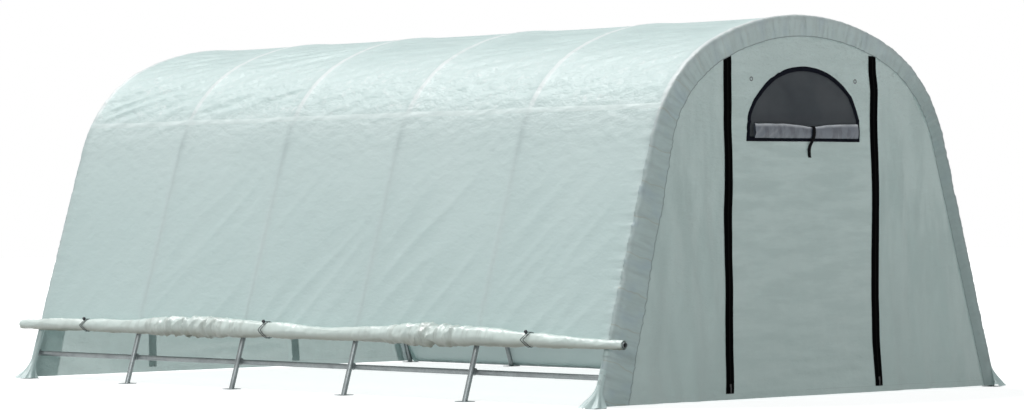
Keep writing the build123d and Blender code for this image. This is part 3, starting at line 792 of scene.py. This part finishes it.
END = (0.70, 0.805, 0.785)
END_SHADE = (0.57, 0.68, 0.665)
end_film = woven_film("end_film", END, END_SHADE, 0.24, 0.0048, 0.40, hem_marks)

# %% The end wall's surface
ZIPS = (-0.690, 0.652)
SILL = 1.63
SPRING = 1.70
WINDOW_TOP = 2.11
WINDOW_HALF = 0.52


def from_cover(x, z):
    """How far a point of the end wall is inside the cover's face, and where along the band."""
    right = abs(x)
    angle = math.atan2(z - shoulder_z, right - shoulder_x)
    if angle < LEAN:
        inset = (WIDTH / 2 - right) * math.cos(LEAN) - z * math.sin(LEAN)
        far = down_to(z + inset * math.sin(LEAN))
    elif angle < split and right > shoulder_x:
        inset = shoulder_r - math.hypot(right - shoulder_x, z - shoulder_z)
        far = crown_end + shoulder_r * (split - angle)
    else:
        inset = crown_r - math.hypot(right, z - crown_z)
        far = crown_r * math.atan2(right, z - crown_z)
    return inset, math.copysign(far, x)


def inset_at(x, z):
    return from_cover(x, z)[0]


def last_inside(inset, low, high, at):
    """Last value, on the way from low to high, at which a point is deeper in than the inset."""
    for _ in range(30):
        middle = (low + high) / 2
        low, high = (middle, high) if inset_at(*at(middle)) > inset else (low, middle)
    return low


def half_width(z, inset):
    """Distance from the middle to the line at an inset, at a height."""
    return last_inside(inset, 0.0, WIDTH / 2, lambda x: (x, z))


def end_height(x, z):
    """How far the end wall's cloth stands out from its flat line."""
    inset, along = from_cover(x, z)
    hem_inset = band_width(along)
    free = ease(hem_inset, hem_inset + 0.18, inset)
    outside = ease(0.70, 0.86, abs(x))
    door = 1 - ease(0.48, 0.60, abs(x))
    low = 1 - ease(0.2, 1.9, z)
    folds = 0.044 * wave((x + 0.12 * z) / 0.13, z / 0.9, 21.0) * outside * (0.35 + 0.65 * low)
    level = 0.009 * (crease(x / 0.9, z / 0.085, 23.0) - 0.4) * door
    slack = 0.014 * wave(x / 0.4, z / 0.45, 25.0)
    slack += 0.0038 * wave(x / 0.07, z / 0.09, 27.0) * max(outside, door)
    return free * (folds + level + slack)


def on_end(x, z, end, lift=0.0):
    return Vector((x, end * (HALF_LENGTH + PANEL_OUT + end_height(x, z) + lift), z))


# %% Panels and door
UNDER_BAND = 0.060
HOLE = -0.013


def end_panel(name, node, cloth, end):
    """Hangs a panel in an end wall, with its edges under the band."""
    place = lambda x, z: on_end(x, z, end)
    soft = {"held": "hung", "rests_on": [bands[end]]}
    return hang(name, node, cloth, place, end_film, "end_fabric", **soft)


def side_panel(name, side, end):
    inner = ZIPS[0] if side < 0 else ZIPS[1]
    top = 2.20
    while half_width(top, UNDER_BAND) < abs(inner) + 0.01:
        top -= 0.01

    def outline(a, b):
        z = HEM + b * (top - HEM)
        outer = side * half_width(z, UNDER_BAND)
        return inner + a * (outer - inner), z

    end_panel(f"{name}_side", f"{name}_panel", cut_cloth((44, 110), outline), end)


def window_edge(margin, count=240):
    """Points round the half-moon window, from its lower left corner, grown by a margin."""
    half, sill, rise = WINDOW_HALF + margin, SILL - margin, WINDOW_TOP - SPRING + margin
    points = [Vector((-half, sill)), Vector((-half, SPRING))]
    for step in range(1, count):
        angle = math.pi * (1 - step / count)
        points.append(Vector((half * math.cos(angle), SPRING + rise * math.sin(angle))))
    points += [Vector((half, SPRING)), Vector((half, sill))]
    return points + [Vector((half - 2 * half * step / 60, sill)) for step in range(1, 60)]


def in_window(x, z, margin):
    half, rise = WINDOW_HALF + margin, WINDOW_TOP - SPRING + margin
    if z < SPRING:
        return abs(x) < half and z > SILL - margin
    return (x / half) ** 2 + ((z - SPRING) / rise) ** 2 < 1


def door(word, end):
    def outline(a, b):
        x = ZIPS[0] + a * (ZIPS[1] - ZIPS[0])
        top = last_inside(UNDER_BAND, HEM, HEIGHT, lambda z: (x, z))
        return x, HEM + b * (top - HEM)

    bm = cut_cloth((64, 116), outline)
    centres = [(face, face.calc_center_median()) for face in bm.faces]
    gone = [face for face, centre in centres if in_window(centre.x, centre.y, HOLE)]
    bmesh.ops.delete(bm, geom=gone, context="FACES")
    edge = window_edge(HOLE, 400)
    for vert in bm.verts:
        if vert.is_boundary and in_window(vert.co.x, vert.co.y, 0.03):
            vert.co.xy = min(edge, key=lambda point: (point - vert.co.xy).length_squared)
    return end_panel(f"{word}_door", f"{word}_door_panel", bm, end)


doors = {}
for word, end in ENDS:
    for side_word, side in SIDES:
        side_panel(f"{word}_{side_word}", side, end)
    doors[end] = door(word, end)

# %% [markdown]
# ## Zips
#
# A zip this long is a black woven tape, a nylon coil down its middle and a metal slider. The tape
# is a strip of grid on the end wall's surface. Its coil is a raised ridge in the same strip, with
# its teeth as bump, because hundreds of modelled teeth would never be seen. The tapes wander a
# little, as zips do when the cloth on either side is not cut quite the same.

# %% Zip finish
def zip_finish():
    tape = Finish("zip_tape")
    cut = tape.cut()
    across = tape.axis(cut, "X").math("ABSOLUTE")
    coil = 1 - across.step(0.0045, 0.0060)
    teeth, ribs = tape.ribs(cut, "Y", 0.003), tape.ribs(cut, "X", 0.0016)
    dust = tape.noise(cut, 18.0, 3.0).step(0.5, 0.8)
    stitch = tape.axis(cut, "Y").math("MODULO", 0.006).step(0.0015, 0.002)
    tone = tape.coats(
        (0.0008, 0.0008, 0.0010),
        (dust * 0.35, (0.0025, 0.0025, 0.003)),
        (coil, (0.002, 0.002, 0.002)),
        (across.line(0.029, 0.0008) * stitch, (0.008, 0.008, 0.009)),
    )
    normal = tape.bump(coil * teeth + (1 - coil) * ribs * 0.3, 0.0006, 0.6)
    return tape.surface(tone, 0.8 - coil * 0.3, normal, {"Specular IOR Level": 0.02})


def blackened(name, colour, roughness, metallic):
    """Painted or blackened metal and moulded plastic, with wear on the high places."""
    coat = Finish(name)
    place = coat.place()
    wear_and_painted_light = coat.noise(place, 90.0, 4.0, 0.7).step(0.55, 0.75)
    lighter = [min(1, 1.9 * part + 0.02) for part in colour]
    tone = coat.coats(colour, (wear_and_painted_light * 0.6, lighter))
    rough = coat.noise(place, 60.0) * 0.2 + (roughness - 0.1)
    normal = coat.bump(coat.noise(place, 160.0, 3.0), 0.0003, 0.4)
    return coat.surface(tone, rough, normal, {"Metallic": metallic})


zip_tape = zip_finish()
zip_metal = blackened("zip_metal", (0.05, 0.05, 0.052), 0.4, 0.8)

# %% Zips
ZIP_HALF = 0.035
ZIP_BOTTOM = 0.048
ZIP_END = 0.125
SLIDER = (((0.013, 0.007, 0.020), 0.0, 0.005), ((0.009, 0.0025, 0.042), 0.026, 0.010))


def zip_middle(x, z, end):
    """Where the tape runs at a height: it wanders, and kinks where it goes under the band."""
    wander = 0.007 * wave(z / 0.55, x * 3, 31.0 + end) + 0.003 * wave(z / 0.2, x * 3, 33.0)
    if x > 0:
        wander += 0.022 * (1 - ease(0.0, 0.4, z)) - 0.020 * ease(1.95, 2.12, z)
    return x + wander


def zip_top(x):
    z = 2.3
    while inset_at(x, z) < ZIP_END:
        z -= 0.002
    return z


def door_zip(word, side_word, x, end):
    top = zip_top(x)

    def outline(a, b):
        return (a - 0.5) * 2 * ZIP_HALF, ZIP_BOTTOM + b * (top - ZIP_BOTTOM)

    def place(u, z):
        middle = zip_middle(x, z, end)
        ridge = 0.0028 * (1 - ease(0.0040, 0.0065, abs(u))) + 0.0008 * bell(abs(u), 0.033, 0.003)
        inset, along = from_cover(middle + u, z)
        open_part = ease(band_width(along), band_width(along) + 0.03, inset)
        return on_end(middle + u, z, end, ON_CLOTH + (0.0012 + ridge) * open_part)

    cloth = cut_cloth((20, 220), outline)
    names = (f"{word}_{side_word}_zip", f"{word}_door_zips")
    hang(*names, cloth, place, zip_tape, "zip_black", held="stretched", rests_on=[doors[end]])


def slider(word, side_word, x, end):
    """Slider body with a pull on it, at the bottom of the zip. Each has a size, drop and lift."""
    z = ZIP_BOTTOM + 0.05
    bm = bmesh.new()
    for size, drop, lift in SLIDER:
        made = bmesh.ops.create_cube(bm, size=1.0)["verts"]
        bmesh.ops.scale(bm, verts=made, vec=size)
        bmesh.ops.translate(bm, verts=made, vec=on_end(zip_middle(x, z, end), z - drop, end, lift))
    bmesh.ops.bevel(
        bm, geom=bm.edges, offset=0.0011, segments=3, profile=0.5, affect="EDGES", material=-1
    )
    bmesh.ops.recalc_face_normals(bm, faces=bm.faces)
    make_piece(f"{word}_{side_word}_slider", bm, zip_metal, "zip_black")


for word, end in ENDS:
    for part in (door_zip, slider):
        for (side_word, _), x in zip(SIDES, ZIPS):
            part(word, side_word, x, end)

# %% [markdown]
# ## Windows
#
# The half-moon window is a hole in the door, bound with dark tape, with an insect screen behind.
# Its flap is a cloth of the same shape, sewn to the sill. Here it is rolled down on itself and
# held by one strap, so it is a flat spiral: round at its ends, pinched in the middle. The strap
# is a strip along a smooth line, made thick by Solidify, and an eyelet is a small circle, spun.

# %% Window finishes
def screen_finish():
    net = Finish("insect_screen")
    cut = net.cut()
    threads = check_weave(net, cut, 0.0035)
    tone = net.coats(
        (0.046, 0.053, 0.062),
        (net.noise(cut, 3.0, 3.0).step(0.3, 0.7), (0.071, 0.077, 0.086)),
        (threads * 0.5, (0.076, 0.083, 0.095)),
    )
    others = {"Specular IOR Level": 0.2, "Alpha": 0.985}
    return net.surface(tone, 0.7, net.bump(threads, 0.0005, 0.6), others)


def webbing_finish(name, colour, light):
    """Ribbed woven tape. Its ribs run across it."""
    tape = Finish(name)
    cut = tape.cut()
    frayed = tape.noise(cut, 40.0, 3.0).step(0.4, 0.75) * 0.6
    tone = tape.coats(colour, (frayed, light))
    rough = tape.noise(cut, 25.0) * 0.15 + 0.6
    normal = tape.bump(tape.ribs(cut, "Y", 0.0022, 0.5), 0.0005, 0.6)
    return tape.surface(tone, rough, normal, {"Specular IOR Level": 0.04})


def flap_marks(film, cut):
    """Painted shade in the slanted folds and a painted highlight along the flap's top bend."""
    folds = film.noise(cut, 1.0, 3.0, 0.5, (16.0, 6.0)).step(0.42, 0.60) * 0.8
    uneven = film.noise(cut, 9.0).step(0.3, 0.6) * 0.5 + 0.5
    bend = film.axis(cut, "Y").line(0.102, 0.030) * uneven
    return [(folds, (0.035, 0.048, 0.075)), (bend, (0.72, 0.76, 0.81))]


FLAP = (0.150, 0.178, 0.212)
FLAP_SHADE = (0.100, 0.122, 0.158)
insect_screen = screen_finish()
binding_tape = webbing_finish("binding_tape", (0.004, 0.005, 0.010), (0.010, 0.012, 0.020))
black_webbing = webbing_finish("black_webbing", (0.003, 0.003, 0.004), (0.010, 0.010, 0.012))
flap_film = woven_film("flap_film", FLAP, FLAP_SHADE, 0.04, 0.0024, 0.30, flap_marks)
eyelet_metal = blackened("eyelet_metal", (0.16, 0.17, 0.175), 0.35, 0.9)

# %% Screen and binding
BINDING = 0.030


def window_screen(word, end):
    low, high = SILL - 0.002, WINDOW_TOP - 0.008

    def outline(a, b):
        z = low + b * (high - low)
        over = max(0.0, (z - SPRING) / (WINDOW_TOP - SPRING))
        half = (WINDOW_HALF - 0.004) * math.sqrt(max(0.0, 1 - over * over))
        return (2 * a - 1) * half, z

    def place(x, z):
        slack = 0.004 * (1 - (x / WINDOW_HALF) ** 2)
        return on_end(x, z, end, -0.0035 - slack)

    cloth = cut_cloth((40, 30), outline)
    names = (f"{word}_screen", f"{word}_window_screen")
    soft = {"held": "stretched", "rests_on": [doors[end]]}
    hang(*names, cloth, place, insect_screen, "screen_mesh", **soft)


def window_binding(word, end):
    """A tape round the window's edge, domed and closed at its start."""
    outer, inner = window_edge(0.0), window_edge(-BINDING)
    lengths = [0.0]
    for first, second in zip(outer, outer[1:] + outer[:1]):
        lengths.append(lengths[-1] + (second - first).length)
    count = len(outer)

    def outline(a, b):
        return lengths[round(a * count)], b * BINDING

    def place(u, v):
        index = min(range(count + 1), key=lambda step: abs(lengths[step] - u)) % count
        x, z = outer[index].lerp(inner[index], v / BINDING)
        dome = 0.0035 * math.sin(math.pi * min(1.0, max(0.0, v / BINDING))) ** 0.5
        return on_end(x, z, end, ON_CLOTH + dome)

    names = (f"{word}_binding", f"{word}_window_binding")
    hang(*names, cut_cloth((count, 6), outline), place, binding_tape, "strap_black")


# %% Rolled flap
FLAP_HALF = 0.468
FLAP_TURNS = 1.7
FLAP_CUT = FLAP_TURNS * 0.225
FLAP_OUT = 0.0185
STRAP_X = 0.045


def flap_section(x):
    """Middle height, half height and half depth of the rolled flap at a place along it."""
    pinch = bell(x, STRAP_X, 0.16)
    end = ease(FLAP_HALF - 0.05, FLAP_HALF, abs(x))
    half = 0.048 - 0.009 * pinch + 0.003 * wave(x / 0.12, 0, 41.0)
    return SILL + 0.020 + half, half, 0.011 + 0.003 * (1 - pinch) - 0.004 * end


def rolled_flap(word, end):
    def place(u, v):
        x = u - FLAP_HALF
        middle, half, depth = flap_section(x)
        turn = v / FLAP_CUT
        angle = -math.pi / 2 + math.tau * FLAP_TURNS * turn
        shrink = 1 - 0.22 * turn
        up = math.sin(angle) * half * shrink
        out = math.cos(angle)
        out = math.copysign(abs(out) ** 0.8, out) * depth * shrink
        slanted = x + 1.3 * up * math.copysign(1, x)
        corner = crease(slanted / 0.075, up / 0.2, 43.0) * (0.35 + 0.65 * ease(0.1, 0.4, abs(x)))
        out += 0.0085 * (corner - 0.4) * (1 if out > 0 else 0.3)
        return Vector((x, end * (HALF_LENGTH + PANEL_OUT + FLAP_OUT + out), middle + up))

    cloth = cut_cloth((120, 56), lambda a, b: (a * 2 * FLAP_HALF, b * FLAP_CUT))
    names = (f"{word}_flap", f"{word}_window_flap")
    inside = (0, end * (HALF_LENGTH + PANEL_OUT + FLAP_OUT), SILL + 0.055)
    soft = {"held": "folded", "rests_on": [doors[end]]}
    hang(*names, cloth, place, flap_film, "end_fabric", inside, **soft)


# %% Strap
STRAP_WIDTH = 0.028
STRAP_THICK = 0.0016


def line_mesh(name, points, radius=0.0):
    """Mesh of a smooth line, or of a round cord along it."""
    data = bpy.data.curves.new(name, "CURVE")
    data.dimensions = "3D"
    data.bevel_depth = radius
    data.bevel_resolution = 3
    data.use_fill_caps = True
    spline = data.splines.new("NURBS")
    spline.points.add(len(points) - 1)
    for point, place in zip(spline.points, points):
        point.co = (*place, 1)
    spline.order_u = 3
    spline.use_endpoint_u = True
    curve = bpy.data.objects.new(name, data)
    mesh = bpy.data.meshes.new_from_object(curve)
    bpy.data.objects.remove(curve)
    return mesh


def flap_strap(word, end):
    """A webbing strap from behind the flap, over its top and down its face."""
    base = HALF_LENGTH + PANEL_OUT
    middle, half, depth = flap_section(STRAP_X)
    top, front = middle + half, FLAP_OUT + depth
    turns = [
        (0.004, top - 0.01), (0.010, top + 0.001), (0.022, top + 0.005),
        (front + 0.002, top - 0.004), (front + 0.0035, middle + 0.02),
        (front + 0.0035, middle - 0.02), (front - 0.004, SILL + 0.002),
        (0.012, SILL - 0.03), (0.008, SILL - 0.07), (0.009, SILL - 0.102),
    ]  # fmt: skip
    sway = lambda z: STRAP_X + 0.014 * math.sin((z - SILL) * 26)
    mesh = line_mesh(word, [(sway(z), end * (base + forward), z) for forward, z in turns])
    path = [vert.co.copy() for vert in mesh.vertices]
    bpy.data.meshes.remove(mesh)
    steps = len(path) - 1
    length = sum((second - first).length for first, second in zip(path, path[1:]))

    def place(u, v):
        cup = 0.0010 * math.cos(math.pi * u / STRAP_WIDTH)
        return path[min(steps, round(v / length * steps))] + Vector((u, end * cup, 0))

    cloth = cut_cloth((6, steps), lambda a, b: ((a - 0.5) * STRAP_WIDTH, b * length))
    names = (f"{word}_strap", f"{word}_window_strap")
    inside = (STRAP_X, end * (base + 0.018), middle)
    piece = hang(*names, cloth, place, black_webbing, "strap_black", inside)
    piece.modifiers.new("thick", "SOLIDIFY").thickness = STRAP_THICK


# %% Eyelets
EYELET = (0.48, 2.022)
RING, RING_SECTION = 0.0115, 0.0034


def eyelets(word, end):
    """Two pressed rings in the cloth: a round section, spun about each eyelet's own axis."""
    bm = bmesh.new()
    for side in (-1, 1):
        centre = on_end(side * EYELET[0], EYELET[1], end, 0.0012)
        verts = bmesh.ops.create_circle(bm, segments=12, radius=RING_SECTION)["verts"]
        bmesh.ops.scale(bm, verts=verts, vec=(1, 0.7, 1))
        bmesh.ops.translate(bm, verts=verts, vec=centre + Vector((RING, 0, 0)))
        ring = verts + list(dict.fromkeys(edge for vert in verts for edge in vert.link_edges))
        bmesh.ops.spin(
            bm, geom=ring, cent=centre, axis=(0, 1, 0), angle=math.tau, steps=32, use_merge=True
        )
    bmesh.ops.remove_doubles(bm, verts=bm.verts, dist=1e-5)
    bmesh.ops.recalc_face_normals(bm, faces=bm.faces)
    make_piece(f"{word}_eyelets", bm, eyelet_metal, "grommet_metal", f"{word}_window_grommets")


for word, end in ENDS:
    for part in (window_screen, window_binding, rolled_flap, flap_strap, eyelets):
        part(word, end)

# %% [markdown]
# ## The rolled-up wall
#
# The lower part of the left wall is wound on its own tube and held by ties. A spiral sheet has
# what makes it read as a roll: layers at the open end, pleats that run round it where the cloth
# has bunched, and long shallow folds between the ties. A closed tube with a bump map would look
# like a foam hose. Several layers let no light through, so its finish is whiter and not lit from
# behind, and shade is painted in its pleats and on its underside.

# %% Rolled wall
ROLL_TURNS = 1.6
ROLL_CUT = math.tau * ROLL_TURNS * 0.044
BUNCHED = ((0.27, 0.045, 1.0), (0.67, 0.055, 0.9))  # share of the length, width and size


def roll_marks(film, cut):
    """Painted shade in the pleats, most where the cloth is bunched, and on the underside."""
    pleats = film.noise(cut, 1.0, 4.0, 0.62, (15.0, 4.0)).step(0.46, 0.66)
    along = film.axis(cut, "X") * (1 / (2 * ROLL_HALF))
    bunched = sum(along.line(share, 3.2 * width) for share, width, _ in BUNCHED)
    wear_and_painted_light = film.noise(cut, 2.0, 3.0).step(0.35, 0.65) * 0.25
    turn = film.axis(cut, "Y") * (1 / ROLL_CUT)
    return [
        (wear_and_painted_light, (0.57, 0.62, 0.57)),
        (turn.hump(0.0, 0.08, 0.17, 0.32) * 0.9, (0.20, 0.205, 0.15)),  # painted shade on the underside
        # painted shade in the pleats, most where the cloth is bunched
        (pleats * (bunched * 0.55 + 0.12), (0.35, 0.39, 0.355)),
    ]


ROLL = (0.69, 0.80, 0.76)
ROLL_SHADE = (0.64, 0.74, 0.71)
roll_film = woven_film("roll_film", ROLL, ROLL_SHADE, 0.06, 0.0020, 0.40, roll_marks)


def roll_folds(y, turn):
    """Pleats and folds on the roll's outer layer."""
    share = (y + ROLL_HALF) / (2 * ROLL_HALF)
    bunched = 0.15 + sum(size * bell(share, place, width) for place, width, size in BUNCHED)
    tied = sum(bell(share, tie, 0.012) for tie in TIES)
    bent = y + 0.05 * wave(y / 0.11, turn * 6, 50.0) + 0.03 * wave(y / 0.05, turn * 13, 52.0)
    round_pleat = crease(bent / 0.10 + turn * 2.2, turn * 3.5, 51.0) - 0.42
    small_pleat = crease(bent / 0.042 - turn * 3, turn * 8, 54.0) - 0.42
    long_fold = crease(turn * 7 + y / 1.3, y / 0.45, 53.0) - 0.4
    ragged = wave(y / 0.06, turn * 11, 55.0)
    pleats = bunched * (0.024 * round_pleat + 0.011 * small_pleat)
    return pleats + 0.007 * long_fold + 0.0018 * ragged - 0.008 * tied


def roll_place(u, v):
    y = u - ROLL_HALF
    x, z, radius = roll_at(y)
    turn = v / ROLL_CUT
    angle = -LEAN - math.tau * ROLL_TURNS * turn
    outer = 1 - ease(0.55, 0.75, turn)
    loose = ease(0.02, 0.15, turn) * outer
    size = radius + roll_folds(y, turn) * loose
    size -= (radius - TUBE - 0.002) * ease(0.52, 1.0, turn)
    return around(x, z, size, angle, y)


cloth = cut_cloth((640, 80), lambda a, b: (a * 2 * ROLL_HALF, b * ROLL_CUT))
names = ("rolled_wall", "left_rolled_wall")
inside = (roll_at(0)[0], 0, roll_at(0)[1])
soft = {"held": "folded", "rests_on": ["left_roll_tube"]}
hang(*names, cloth, roll_place, roll_film, "cover_fabric", inside, **soft)

# %% [markdown]
# ## Ties
#
# Each tie is a loop of elastic cord with a ball on top, passed twice round the roll and hooked to
# itself. The turns splay into a narrow V. They are a curve with a round bevel, made a mesh.

# %% Ties
CORD = 0.0022
BALL = 0.012
PRESSED = 0.001  # how far a tie sinks into the roll
TIE_START, TIE_SWEEP = math.radians(25.7068), math.radians(308)
BALL_TURN = math.radians(118)
tie_cord = webbing_finish("tie_cord", (0.045, 0.05, 0.055), (0.13, 0.14, 0.145))
ball_plastic = blackened("ball_plastic", (0.012, 0.014, 0.02), 0.35, 0.0)


def on_roll(y, angle, lift, shift=0.0):
    """Point over the roll's round outside, which may be shifted along it."""
    x, z, radius = roll_at(y)
    return around(x, z, radius + lift, angle, y + shift)


def tie(name, share):
    y = -ROLL_HALF + share * 2 * ROLL_HALF
    bm = bmesh.new()
    for offset in (-0.012, 0.012):
        points = []
        for step in range(25):
            angle = TIE_START + step / 24 * TIE_SWEEP
            front = max(0.0, -math.cos(angle))
            splay = 0.070 * (1 - abs(math.sin(angle))) - 0.046 * front if front else 0.0
            points.append(on_roll(y + offset + splay, angle, CORD - PRESSED))
        mesh = line_mesh(name, points, CORD)
        bm.from_mesh(mesh)
        bpy.data.meshes.remove(mesh)
    make_piece(name, bm, tie_cord, "tie_rubber", "left_roll_ties")
    bm = bmesh.new()
    bmesh.ops.create_uvsphere(bm, u_segments=24, v_segments=16, radius=BALL)
    bmesh.ops.translate(bm, verts=bm.verts, vec=on_roll(y, BALL_TURN, BALL - PRESSED, 0.004))
    make_piece(f"{name}_ball", bm, ball_plastic, "tie_rubber")


for number, share in enumerate(TIES, 1):
    tie(f"tie_{number}", share)

# %% [markdown]
# ## Right hem and corner skirts
#
# The right wall is down. Its hem is a pocket round a tube, pulled to the ground. At each corner
# the cover has a spare skirt that wraps the leg and spreads on the ground like a trouser leg. It
# is cut as a fan, so that it has more cloth at its foot than at its top.

# %% Right hem
POCKET = 0.0208
POCKET_HALF = 3.02
POCKET_WRAP = math.radians(352)
POCKET_FOOT = 0.0045
TUBE_OUT = 0.021
pocket_z = POCKET_FOOT + TUBE_OUT
pocket_x = leg_x(pocket_z, -CLEAR - TUBE_OUT)


def pocket_place(u, v):
    angle = math.pi - LEAN + v / POCKET
    size = POCKET + 0.0012 * wave(u / 0.12, v / 0.05, 61.0)
    return around(pocket_x, pocket_z, size, angle, u - POCKET_HALF)


cloth = cut_cloth((200, 20), lambda a, b: (a * 2 * POCKET_HALF, b * POCKET * POCKET_WRAP))
names = ("right_hem", "right_hem_pocket")
inside = (pocket_x, 0, pocket_z)
soft = {"held": "folded", "rests_on": ["right_roll_tube"]}
hang(*names, cloth, pocket_place, cover_film, "cover_fabric", inside, **soft)

# %% Corner skirts
SKIRT_TOP = 0.36
SKIRT_FOOT = 0.006
SKIRT_WRAP = math.radians(200)
SKIRT_SNUG = 0.024
FLARE_TOP = 0.15
LEG_INSET = 0.021


def spread(z):
    """How much wider than at its top the skirt is at a height."""
    return 0.080 * (1 - min(1.0, z / FLARE_TOP)) ** 1.8


def corner_skirt(word, end, side_word, side):
    """Wraps a leg from the band round its outer side, and flares at the ground."""
    seed = 70 + 3 * side + end

    def outline(a, b):
        z = SKIRT_FOOT + b * (SKIRT_TOP - SKIRT_FOOT)
        return (a - 0.5) * SKIRT_WRAP * (SKIRT_SNUG + spread(z)), z

    def place(u, v):
        flare = spread(v)
        turn = u / (SKIRT_WRAP * (SKIRT_SNUG + flare))  # -0.5 at the band, 0.5 inside the wall
        angle = (turn + 0.02) * SKIRT_WRAP
        pleat = 0.55 * flare * wave(turn * 9, v / 0.2, seed)
        pleat += 0.007 * wave(turn * 5, v / 0.07, seed + 1)
        size = 0.0245 + flare * (0.75 + 0.35 * math.cos(angle)) + pleat * ease(0.0, 0.12, 0.16 - v)
        x = leg_x(v, LEG_INSET) + size * math.cos(angle)
        y = HALF_LENGTH - size * math.sin(angle)
        return Vector((side * x, end * y, max(0.005, v + 0.25 * pleat)))

    cloth = cut_cloth((48, 44), outline)
    names = (f"{word}_{side_word}_skirt", "corner_tails")
    inside = (side * leg_x(0.2, LEG_INSET), end * HALF_LENGTH, 0.2)
    soft = {"held": "gathered", "rests_on": [f"{side_word}_legs"]}
    hang(*names, cloth, place, cover_film, "cover_fabric", inside, **soft)


for word, end in ENDS:
    for side_word, side in SIDES:
        corner_skirt(word, end, side_word, side)

# %% [markdown]
# ## Steel
#
# The bows, legs and rails are galvanised tube. Zinc freezes in flat crystals a few millimetres
# across, each a slightly different grey, and dulls where it has been handled. A Voronoi texture
# gives each crystal one value. The frame's own meshes are kept and only get this finish.

# %% Steel
def galvanised():
    zinc = Finish("galvanised_steel")
    place = zinc.place()
    inputs = {"Vector": place, "Scale": 120.0}
    crystals = zinc.axis(zinc.add("ShaderNodeTexVoronoi", inputs=inputs, output="Color"), "X")
    dull = zinc.noise(place, 7.0, 4.0).step(0.4, 0.75)
    tone = zinc.coats(
        (0.23, 0.26, 0.265), (crystals, (0.31, 0.34, 0.345)), (dull * 0.6, (0.21, 0.225, 0.23))
    )
    rough = crystals * 0.12 + dull * 0.18 + 0.34
    normal = zinc.bump(zinc.noise(place, 220.0, 2.0), 0.0002, 0.35)
    return zinc.surface(tone, rough, normal, {"Metallic": 0.75})


steel = galvanised()
steel_nodes = bows + ["ridge_rail", "rail_saddles"]
for word, _ in SIDES:
    parts = ("legs", "feet", "shoulder_rail", "base_rail", "roll_tube")
    steel_nodes += [f"{word}_{part}" for part in parts]
for name in steel_nodes:
    mesh = nodes[name].data
    mesh.materials.clear()
    mesh.materials.append(steel)
print("steel on", len(steel_nodes), "nodes")

# %% [markdown]
# Each saddle is drawn tight by one bolt through bow and rail. Its nut and washer are on the inner
# side, where they can't rub the cover. Only on the left legs, which stand bare below the roll, is
# the bolt's domed head on show.

# %% Bolts
RAIL_INSET = 0.060
BASE_RAIL = 0.182
LEG_OUT = 0.039 + TUBE  # from a rail's middle to its leg's outer face
BOLT = [  # sides, radius, depth and place of washer, nut and thread
    (32, 0.0068, 0.0016, -TUBE - 0.0006),
    (6, 0.0058, 0.0050, -TUBE - 0.0038),
    (20, 0.0030, 0.0030, -TUBE - 0.0076),
]
OUTER_WASHER = (32, 0.0066, 0.0012, LEG_OUT + 0.0004)
HEAD = 0.0056


def add_bolt(bm, point, outward, y, head):
    """Nut, washer and thread end inside a rail, and a domed head outside the leg."""
    axis = Vector((outward[0], 0, outward[1])).normalized()
    turn = axis.to_track_quat("Z", "Y").to_matrix().to_4x4()
    middle = Vector((point[0], y, point[1]))
    placed = lambda along: Matrix.Translation(middle + axis * along) @ turn
    for sides, radius, depth, along in BOLT + ([OUTER_WASHER] if head else []):
        made = bmesh.ops.create_cone(
            bm, cap_ends=True, segments=sides, radius1=radius, radius2=radius, depth=depth
        )["verts"]
        bmesh.ops.transform(bm, verts=made, matrix=placed(along))
    if head:
        made = bmesh.ops.create_uvsphere(bm, u_segments=24, v_segments=12, radius=HEAD)["verts"]
        bmesh.ops.scale(bm, verts=made, vec=(1, 1, 0.5))
        bmesh.ops.transform(bm, verts=made, matrix=placed(LEG_OUT + 0.001))


def on_arch(along):
    x, z, nx, nz = arch(along)
    return (x - nx * RAIL_INSET, z - nz * RAIL_INSET), (nx, nz)


bm = bmesh.new()
for station in range(BAYS + 1):
    y = station * BAY - HALF_LENGTH
    add_bolt(bm, (0, HEIGHT - RAIL_INSET), (0, 1), y, False)
    for _, side in SIDES:
        add_bolt(bm, *on_arch(side * seam), y, False)
        base = (side * leg_x(BASE_RAIL, RAIL_INSET), BASE_RAIL)
        add_bolt(bm, base, (side * math.cos(LEAN), math.sin(LEAN)), y, side < 0)
bolts = make_piece("rail_bolts", bm, steel, "frame_steel")
for face in bolts.data.polygons:
    face.use_smooth = len(face.vertices) == 4 and face.area < 2e-6
